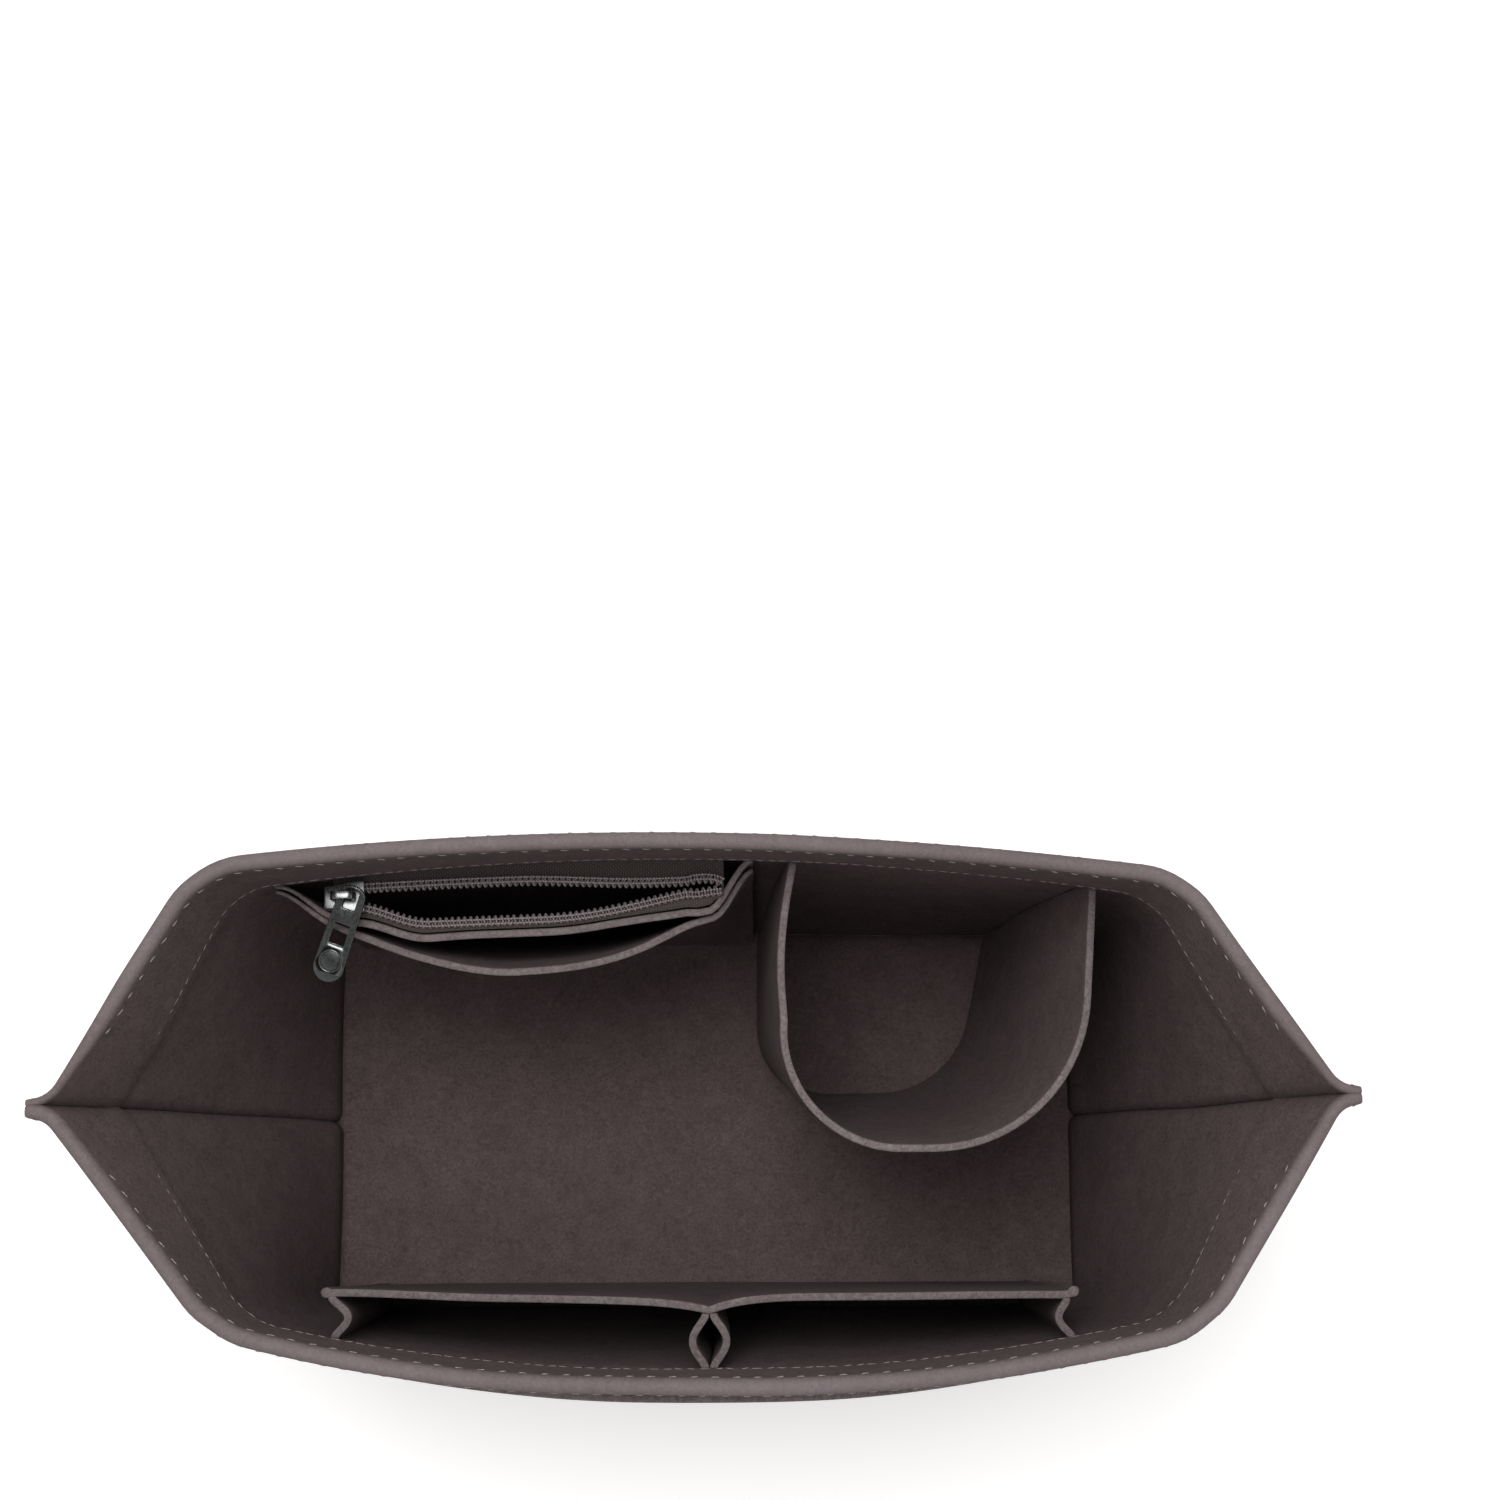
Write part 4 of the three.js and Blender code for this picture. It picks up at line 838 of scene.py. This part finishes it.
def chain_lines(line, sign, first, last):
    """The two rows of chain stitch that hold a coil on its tape, beside each other on the coil's back."""
    rows = []
    for reach in CHAIN_ROWS:
        points = np.array([(x, line(x), chain_level) for x in np.linspace(first, last, 120)])
        along = np.gradient(points, axis=0)
        along /= np.linalg.norm(along, axis=1, keepdims=True)
        rows.append(points + sign * reach * np.stack([-along[:, 1], along[:, 0], along[:, 2]], axis=1))
    return rows


coil = grow("zip_coil_back_wound", [coil_line(back_line, ZIP_LEFT, ZIP_RIGHT - 1)], coils,
            {**coil_settings, "Shift": -coil_middle * MM})
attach(coil, "insert")
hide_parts("zip_coil_back")
chain = grow("zip_chain_back_thread", chain_lines(back_line, 1, ZIP_LEFT, ZIP_RIGHT - 1), stitches,
             chain_settings)
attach(chain, "insert")
for name, sign, first, last in (("zip_coil_front_left", 1, ZIP_LEFT + COIL_PITCH / 2, DRAW_MIDDLE),
                                ("zip_coil_front_right", -1, DRAW_MIDDLE, ZIP_RIGHT - 1)):
    coil = grow(name, [coil_line(front_line, first, last)], coils,
                {**coil_settings, "Shift": coil_middle * MM})
    draw_in(coil)
    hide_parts("zip_coil_front")
    chain = grow(name.replace("coil", "chain") + "_thread", chain_lines(front_line, -1, first, last),
                 stitches, chain_settings)
    draw_in(chain)

# Sewing thread. Spun polyester, a shade lighter than the felt. The rim's row is a slack
# lockstitch that shows as short slanted dashes; the hem's own row is closer and finer.
RIM_ROW_DROP, HEM_ROW_RISE = 3.6, 3
THREAD_INSET = 3
END_SEAM_LOW, END_SEAM_DROP, END_SEAM_SHARE = 9, 5, 0.75
POCKET_ROW_TOP = 121
LOOP_ROWS, LOOP_ROW_LOW, LOOP_ROW_HIGH = ((19.4, 24.5), (98, 118)), 12, 129
GUSSET_LEFT, GUSSET_RIGHT = -106.7, 107.3
GUSSET_ROW_LOW, GUSSET_ROW_HIGH = 12, 117


def sew(name, lines, step=5.3, length=3.6, thread=0.42, slant=0.0):
    row = grow(name, [settle(line) for line in lines], stitches,
               {"Step": step * MM, "Length": length * MM, "Thread": thread * MM, "Slant": slant,
                "Material": thread_material})
    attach(row, "insert")


face_inset = hem_shift + FELT / 2
for name, z, look in (
        ("rim_thread", HEIGHT - RIM_ROW_DROP, dict(step=5.7, length=2.6, thread=0.5, slant=0.45)),
        ("hem_thread", hem_edge + HEM_ROW_RISE, dict(step=3.6, length=3.1, thread=0.26))):
    level = min(z, fold_base)
    lines = [wall_row(side, level, -FELT / 2, z)[2:-2] for side in (BACK, FRONT)]
    lines += [wall_row(side, level, face_inset, z)[12:-12] for side in (BACK, FRONT)]
    sew(name, lines, **look)

seam_lines = []
for side in (BACK, FRONT):
    for end, beside in ((0, 2), (-1, -3)):
        line = []
        for z in np.linspace(END_SEAM_LOW, HEIGHT - END_SEAM_DROP, 40):
            row = wall_row(side, min(z, fold_base), -FELT / 2, z)
            line.append(mix(row[end], row[beside], END_SEAM_SHARE))
        seam_lines.append(line)
sew("end_seam_thread", seam_lines)

left_foot, left_head = POCKET_BOTTOM_LEFT + THREAD_INSET, POCKET_TOP_LEFT + THREAD_INSET
right_row, bottom_row = POCKET_RIGHT - THREAD_INSET, POCKET_BOTTOM + THREAD_INSET
upright_rows = [((left_foot, left_head), POCKET_BOTTOM, POCKET_ROW_TOP),
                ((right_row, right_row), POCKET_BOTTOM, POCKET_ROW_TOP)]
upright_rows += [(span, LOOP_ROW_LOW, LOOP_ROW_HIGH) for span in LOOP_ROWS]
wall_lines = []
for (x_low, x_high), z_low, z_high in upright_rows:
    line = [(mix(x_low, x_high, k), mix(z_low, z_high, k)) for k in np.linspace(0, 1, 30)]
    wall_lines.append([(x, wall_face(BACK, x, z) + FELT, z) for x, z in line])
wall_lines.append([(x, wall_face(BACK, x, bottom_row) + FELT, bottom_row)
                   for x in np.linspace(left_foot, right_row, 30)])
for x in (GUSSET_LEFT, GUSSET_RIGHT):
    wall_lines.append([(x, wall_face(FRONT, x, z) - FELT, z)
                       for z in np.linspace(GUSSET_ROW_LOW, GUSSET_ROW_HIGH, 30)])
sew("wall_thread", wall_lines)

left, right = OUTER_LEFT + THREAD_INSET, OUTER_RIGHT - THREAD_INSET
bottom, top = OUTER_BOTTOM + THREAD_INSET, OUTER_TOP - 2
outline = [(left, z) for z in np.linspace(top, bottom, 30)]
outline += [(x, bottom) for x in np.linspace(left, right, 30)[1:]]
outline += [(right, z) for z in np.linspace(bottom, top, 30)[1:]]
sew("outer_pocket_thread", [[(x, outer_pocket_y(x, z) - FELT / 2, z) for x, z in outline]])

# Bottle loop. One strip of felt stood on edge in a U, its ends sewn to the back wall and its
# lower edge to the floor; it leans out towards the bag's right end.
LOOP_TOP, LOOP_FOOT = 130, FELT + LAP
LOOP_SLACK = 2
LOOP_LOW = dict(left=19.4, front_left=19.4, right=98, front_right=87, front=7, left_radius=24,
                right_radius=32)
LOOP_HIGH = dict(left=29.5, front_left=22.6, right=118, front_right=111.5, front=-12.8, left_radius=34,
                 right_radius=46)


def standing_face(side, x, z, clear):
    """Inner face of a long wall with the floor's fold at its foot."""
    raised = wall_face(side, x, max(z, fold_top))
    drop = max(0, fold_top - z)
    inner = FOLD_RADIUS - FELT / 2 - LAP
    back_off = inner - math.sqrt(max(0, inner * inner - drop * drop))
    return raised - side["sign"] * (back_off + clear)


rows = []
for z in np.concatenate([np.linspace(LOOP_FOOT, fold_top, 4), np.linspace(fold_top, LOOP_TOP, 32)[1:]]):
    lift = (z - LOOP_FOOT) / (LOOP_TOP - LOOP_FOOT)
    at = {key: mix(LOOP_LOW[key], LOOP_HIGH[key], lift) for key in LOOP_LOW}
    left_end = np.array([at["left"], standing_face(BACK, at["left"], z, LAP)])
    right_end = np.array([at["right"], standing_face(BACK, at["right"], z, LAP)])
    left_corner = np.array([at["front_left"], at["front"]])
    right_corner = np.array([at["front_right"], at["front"]])
    first = round_corner(left_end, left_corner, right_corner, at["left_radius"], 20)
    second = round_corner(left_corner, right_corner, right_end, at["right_radius"], 20)
    slack = LOOP_SLACK * lift
    line = [mix(left_end, first[0], k) - (slack * math.sin(math.pi * k), 0)
            for k in np.linspace(0, 1, 12)[:-1]]
    line += first + [mix(first[-1], second[0], k) for k in np.linspace(0, 1, 5)[1:-1]]
    line += second + [mix(second[-1], right_end, k) for k in np.linspace(0, 1, 12)[1:]]
    rows.append([(x, y, z) for x, y in line])
loop = felt_sheet("bottle_loop_felt", rows)
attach(loop, "insert")
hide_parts("bottle_loop")

# Front pocket panel. One long felt sheet held off the front wall by gussets, drawn in where the
# middle pair is sewn to it; both its ends are rolled over the end gussets into a thick bead.
PANEL_TOP, PANEL_BASE = 118, FELT + 2 * LAP
PANEL_LEFT, PANEL_RIGHT = -110, 111
PANEL_Y, PANEL_FOOT = -55, -56.3
PANEL_DIP, DIP_LEFT, DIP_RIGHT = 3.9, 15, 10
PANEL_TURN, TURN_START, TURN_END = 2.4, 55, 115
END_TURN, END_TURN_LENGTH = 1.4, 4
DIVIDER_X = 3.6
BEAD, BEAD_END, BEAD_LEAST = 3.1, 0.8, 0.12


def panel_y(x, z):
    """Middle of the front pocket panel, drawn out by the divider and in at both ends."""
    top = PANEL_Y - PANEL_DIP * math.exp(-abs(x - DIVIDER_X) / (DIP_LEFT if x < DIVIDER_X else DIP_RIGHT))
    top += PANEL_TURN * smooth(-x, TURN_START, TURN_END)
    top += END_TURN * smooth(x, PANEL_RIGHT - END_TURN_LENGTH, PANEL_RIGHT)
    return mix(PANEL_FOOT, top, (z - PANEL_BASE) / (PANEL_TOP - PANEL_BASE))


xs = np.linspace(PANEL_LEFT, PANEL_LEFT + BEAD, 8)
for first, last, count in ((PANEL_LEFT + BEAD, DIVIDER_X, 40), (DIVIDER_X, PANEL_RIGHT - BEAD, 40),
                           (PANEL_RIGHT - BEAD, PANEL_RIGHT, 8)):
    xs = np.append(xs, np.linspace(first, last, count)[1:])
rows = [[(x, panel_y(x, z), z) for x in xs] for z in np.linspace(PANEL_TOP, PANEL_BASE, 30)]
rolled = []
for x in xs:
    from_end = min(x - PANEL_LEFT, PANEL_RIGHT - x) / BEAD
    bead = BEAD * math.sqrt(max(BEAD_LEAST, 1 - (2 * from_end - 1) ** 2))
    rolled.append(mix(FELT, bead, 1 - smooth(from_end, BEAD_END, 1)))
front_panel = felt_sheet("front_pocket_felt", rows, np.array(rolled)[None, :, None])
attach(front_panel, "insert")
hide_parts("front_pocket_panel")

# Gussets. Four folded strips of felt, one at each end of the front pocket panel and a pair in its
# middle that leaves a slim tube between the two pockets, each sewn to the panel and to the wall.
GUSSET_LIP, GUSSET_SINK, GUSSET_HALF = 0.6, 0.1, 1.1
GUSSET_SPLIT = 1.25
GUSSET_POWER = 1.3
for name, node, x, bulge, foot in (
        ("gusset_felt_left", "gusset_left", GUSSET_LEFT, 4.2, 1.3),
        ("gusset_felt_centre_left", "gusset_centre_left", DIVIDER_X - GUSSET_SPLIT, -3.8, 0),
        ("gusset_felt_centre_right", "gusset_centre_right", DIVIDER_X + GUSSET_SPLIT, 3.8, 0),
        ("gusset_felt_right", "gusset_right", GUSSET_RIGHT, -3, 1.5)):
    rows = []
    near, far = x - GUSSET_HALF, x + GUSSET_HALF
    for z in np.linspace(fold_top + LAP, PANEL_TOP, 28):
        start = min(panel_y(near, z), panel_y(far, z)) - FELT / 2 + GUSSET_SINK
        end = max(wall_face(FRONT, near, z), wall_face(FRONT, far, z)) + LAP
        lift = z / PANEL_TOP
        row = []
        for k, y in enumerate(np.linspace(start - GUSSET_LIP, end + GUSSET_LIP, 19)):
            out = bulge * math.sin(math.pi * k / 18) ** GUSSET_POWER + foot * k / 18
            row.append((x + lift * out, y, z))
        rows.append([(x, start, z)] + row + [(x + lift * foot, end, z)])
    gusset = felt_sheet(name, rows)
    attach(gusset, "insert")
    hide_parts(node)

# Slider. Die-cast zinc plated in black nickel: two plates joined by a post, with flanges that hold
# the coils down.
PLATE, FLANGE, SLIT = 1.0, 0.5, 0.45
HEEL_ROOM, MOUTH_SPREAD = 0.5, 1.5
PLATE_ROUNDING, FLANGE_ROUNDING, POST_ROUNDING = 0.3, 0.1, 0.02
POST_LENGTH, POST_HEAD, POST_TIP = 3.4, 0.4, 0.05
SHARP_ANGLE = math.radians(50)
channel_low = -TAPE / 2 - SLIT
channel_high = TAPE / 2 + LAP + COIL_HEIGHT + SLIT
slider_top = channel_high + PLATE
heel_reach = COIL_WIDTH - COIL_OVERLAP / 2 + HEEL_ROOM
tail_half = heel_reach + FLANGE
mouth_half = heel_reach + MOUTH_SPREAD + FLANGE
slider_place = (Matrix.Translation(Vector((SLIDER_X, SLIDER_Y, ZIP_HEIGHT)) * MM)
                @ Matrix.Rotation(ZIP_TURN, 4, "Z"))


def plated(name, pale, dark, roughness):
    """Plated zinc or steel. Tumbling polishes the casting before it is plated and leaves rub marks of
    about 1 mm, so the metal mirrors the room in soft patches, some sharper and some duller."""
    material, tree = new_material(name)
    rubs = pattern(tree, "ShaderNodeTexNoise", 900, {"Detail": 5, "Roughness": 0.7})
    return coat(material, {"Metallic": 1.0, "Base Color": mix_nodes(tree, rubs, linear(dark), linear(pale)),
                           "Roughness": remap(tree, rubs, 0.3, 0.7, roughness * 0.8, roughness * 1.3),
                           "Normal": bumped(tree, rubs, 0.08, 0.0001)})


gunmetal = plated("black nickel plated zinc", "#858786", "#626464", 0.26)
bright_metal = plated("bright plated steel", "#a2a3a3", "#5d5f60", 0.24)


def cut_plate(name, outlines, bottom, top, rounding, material, place):
    """A plate cut to an outline with its holes, its edges rounded, set in a place."""
    curve = bpy.data.curves.new(name, "CURVE")
    curve.dimensions = "2D"
    curve.fill_mode = "BOTH"
    curve.extrude = (top - bottom) / 2 * MM - rounding * MM
    curve.bevel_depth = rounding * MM
    curve.bevel_resolution = 2
    curve.offset = -rounding * MM
    for outline in outlines:
        spline = curve.splines.new("POLY")
        spline.points.add(len(outline) - 1)
        for point, (x, y) in zip(spline.points, outline):
            point.co = (x * MM, y * MM, 0, 1)
        spline.use_cyclic_u = True
    piece = show(name, curve)
    mesh = bpy.data.meshes.new_from_object(piece.evaluated_get(bpy.context.evaluated_depsgraph_get()))
    bpy.data.objects.remove(piece)
    bpy.data.curves.remove(curve)
    work = bmesh.new()
    work.from_mesh(mesh)
    bmesh.ops.remove_doubles(work, verts=work.verts, dist=1e-6)
    bmesh.ops.recalc_face_normals(work, faces=work.faces)
    for edge in work.edges:
        edge.smooth = edge.calc_face_angle(0) < SHARP_ANGLE
    work.to_mesh(mesh)
    work.free()
    mesh.transform(place @ Matrix.Translation((0, 0, (top + bottom) / 2 * MM)))
    mesh.materials.clear()
    mesh.materials.append(material)
    mesh.polygons.foreach_set("use_smooth", [True] * len(mesh.polygons))
    mesh.name = name
    return show(name, mesh)


def bezier(points, steps=8):
    """Points along the curve from the first point to the last that the two between them pull on."""
    a, b, c, d = [np.array(p, float) for p in points]
    return [tuple((1 - t) ** 3 * a + 3 * (1 - t) ** 2 * t * b + 3 * (1 - t) * t * t * c + t ** 3 * d)
            for t in np.linspace(0, 1, steps + 1)]


def slider_outline(inset):
    """Plan of the slider's plates, narrow at the tail and wide at the mouth."""
    half = SLIDER_LENGTH / 2
    tail, mouth = tail_half - inset, mouth_half - inset
    lower = bezier([(-half, -tail), (-half / 3, -tail), (0, -mouth), (half - PLATE, -mouth)], 12)
    corner = bezier([(half - PLATE, -mouth), (half - PLATE / 3, -mouth), (half, -mouth + PLATE / 3),
                     (half, -mouth + PLATE)], 5)
    side = lower + corner[1:]
    return side + [(x, -y) for x, y in reversed(side)]


def joined(name, parts):
    """Unites closed parts of one casting into a single mesh."""
    main = parts[0]
    for part in parts[1:]:
        cut = main.modifiers.new("unite", "BOOLEAN")
        cut.operation = "UNION"
        cut.solver = "EXACT"
        cut.object = part
        bake(main)
        bpy.data.objects.remove(part)
    main.name = name
    main.data.name = name
    return main


half = SLIDER_LENGTH / 2
outline, inner = slider_outline(0), slider_outline(FLANGE)
post_inside = half - POST_LENGTH
post = [(half, -POST_HEAD), (half, POST_HEAD), (post_inside, POST_TIP), (post_inside, -POST_TIP)]
flange_points = len(outline) // 2 - 3
front_flange = outline[:flange_points] + inner[:flange_points][::-1]
rear_flange = [(x, -y) for x, y in reversed(front_flange)]
flange_low, flange_high = TAPE / 2 + SLIT, channel_high + PLATE / 2
parts = [cut_plate(name, [edge], bottom, top, rounding, gunmetal, slider_place)
         for name, edge, bottom, top, rounding in (
             ("upper", outline, channel_high, slider_top, PLATE_ROUNDING),
             ("lower", outline, channel_low - PLATE, channel_low, PLATE_ROUNDING),
             ("front_flange", front_flange, flange_low, flange_high, FLANGE_ROUNDING),
             ("rear_flange", rear_flange, flange_low, flange_high, FLANGE_ROUNDING),
             ("post", post, channel_low - PLATE / 2, flange_high, POST_ROUNDING))]
slider = joined("slider_casting", parts)
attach(slider, "slider")
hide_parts("slider_body")

# Slider bridge. A bright arched strip of plated steel riveted along the slider's top, which the
# puller's eye hangs on.
BRIDGE_LENGTH, BRIDGE_WIDTH, BRIDGE_STRIP, BRIDGE_RISE = 7, 2.6, 0.9, 4.6
BRIDGE_ROUNDING = 0.28
on_side = slider_place @ Matrix.Rotation(math.pi / 2, 4, "X")
reach, shoulder, roof = BRIDGE_LENGTH / 2, BRIDGE_RISE - BRIDGE_STRIP, BRIDGE_RISE + BRIDGE_STRIP


def arch(half_span, top, corner_low, foot):
    """Upper outline of an arch from its left foot to its right foot."""
    left = bezier([(-half_span, corner_low), (-half_span, mix(corner_low, top, 0.66)),
                   (-half_span * 0.8, top), (-half_span / 3, top)])
    return [(-half_span, foot)] + left + [(-x, y) for x, y in reversed(left)] + [(half_span, foot)]


outer_arch = arch(reach, roof, shoulder, 0)
inner_arch = arch(reach - BRIDGE_STRIP, BRIDGE_RISE, shoulder, 0)
profile = [(x, y + slider_top) for x, y in outer_arch + inner_arch[::-1]]
bridge = cut_plate("slider_bridge_arch", [profile], -BRIDGE_WIDTH / 2, BRIDGE_WIDTH / 2, BRIDGE_ROUNDING,
                   bright_metal, on_side)
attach(bridge, "slider")
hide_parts("slider_bridge")

# Lock spring. A bent leaf of spring steel under the bridge, whose toe presses on the slider so that
# it keeps its place on the coils.
LEAF, LEAF_HALF, LEAF_BEND, LEAF_ROUNDING = 0.3, 0.7, 1.2, 0.05
toe = reach - BRIDGE_STRIP - LAP
leaf_roof = BRIDGE_RISE - LAP
bend_start, toe_inside = toe - LEAF_BEND, toe - LEAF
leaf = [(-toe / 2, leaf_roof), (bend_start, leaf_roof)]
leaf += bezier([(bend_start, leaf_roof), (toe - 0.4, leaf_roof), (toe, leaf_roof - 0.4),
                (toe, leaf_roof - LEAF_BEND)], 6)[1:]
leaf += [(toe, LAP), (toe_inside, LAP)]
leaf += bezier([(toe_inside, leaf_roof - LEAF_BEND), (toe_inside, leaf_roof - 0.6),
                (toe - 0.6, leaf_roof - LEAF), (bend_start, leaf_roof - LEAF)], 6)
leaf += [(-toe / 2, leaf_roof - LEAF)]
spring = cut_plate("slider_spring_leaf", [[(x, y + slider_top) for x, y in leaf]], -LEAF_HALF, LEAF_HALF,
                   LEAF_ROUNDING, bright_metal, on_side)
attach(spring, "slider")
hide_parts("slider_lock_spring")

# Puller. A flat die-cast tab, its eye linked through the bridge, with a square window and a
# bare round boss at the free end.
PULLER_LENGTH, HEAD_HALF, FOOT_HALF = 27, 4.1, 4.7
PULLER_PLATE = 1.2
EYE_HALF, EYE_BACK, EYE_FRONT, BAR = 2.05, 1.95, 4.3, 1
WINDOW_HALF, WINDOW_START, WINDOW_LENGTH = 2.35, 9, 6.2
BOSS_RADIUS, BOSS_CENTRE = 3.6, 20.5
PIVOT_X, PIVOT_RISE = 2.8, 2.3
PULLER_TURN, PULLER_TILT = math.radians(-22), math.radians(15)
EYE_CHAMFER, PULLER_ROUNDING = 0.5, 0.26
BOSS_LIP, BOSS_RISE, BOSS_HOLLOW = 0.7, 0.6, 0.3
puller_place = (slider_place @ Matrix.Translation(Vector((PIVOT_X, 0, slider_top + PIVOT_RISE)) * MM)
                @ Matrix.Rotation(PULLER_TURN, 4, "Z") @ Matrix.Rotation(PULLER_TILT, 4, "X"))
back_edge = EYE_BACK + BAR
head = bezier([(-HEAD_HALF, 0), (-HEAD_HALF, back_edge * 0.67), (-HEAD_HALF / 3, back_edge),
               (0, back_edge)])
head += [(-x, y) for x, y in reversed(head[:-1])]
foot = [(FOOT_HALF * math.cos(a), FOOT_HALF - PULLER_LENGTH + FOOT_HALF * math.sin(a))
        for a in np.linspace(0, -math.pi, 24)]
eye_end = EYE_HALF - EYE_CHAMFER
eye = [(-EYE_HALF, -EYE_FRONT + EYE_CHAMFER), (-eye_end, -EYE_FRONT), (eye_end, -EYE_FRONT),
       (EYE_HALF, -EYE_FRONT + EYE_CHAMFER)]
crown = bezier([(EYE_HALF, EYE_BACK - BAR), (EYE_HALF, EYE_BACK - BAR / 3), (EYE_HALF / 3, EYE_BACK),
                (0, EYE_BACK)], 6)
eye += crown + [(-x, y) for x, y in reversed(crown[:-1])]
window_end = -WINDOW_START - WINDOW_LENGTH
window = [(-WINDOW_HALF, -WINDOW_START), (WINDOW_HALF, -WINDOW_START), (WINDOW_HALF, window_end),
          (-WINDOW_HALF, window_end)]
ring, hollow = [[(radius * math.cos(a), radius * math.sin(a) - BOSS_CENTRE)
                 for a in np.linspace(0, 2 * math.pi, 41)[:-1]]
                for radius in (BOSS_RADIUS, BOSS_RADIUS - BOSS_LIP)]
face = PULLER_PLATE / 2
tab = cut_plate("puller_tab", [head + foot, eye, window], -face, face, PULLER_ROUNDING, gunmetal,
                puller_place)
rim = cut_plate("boss_rim", [ring, hollow], 0, face + BOSS_RISE, PLATE_ROUNDING, gunmetal, puller_place)
disc = cut_plate("boss_disc", [hollow], 0, face + BOSS_HOLLOW, FLANGE_ROUNDING, gunmetal, puller_place)
puller = joined("puller_tab", [tab, rim, disc])
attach(puller, "puller")
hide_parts("puller")
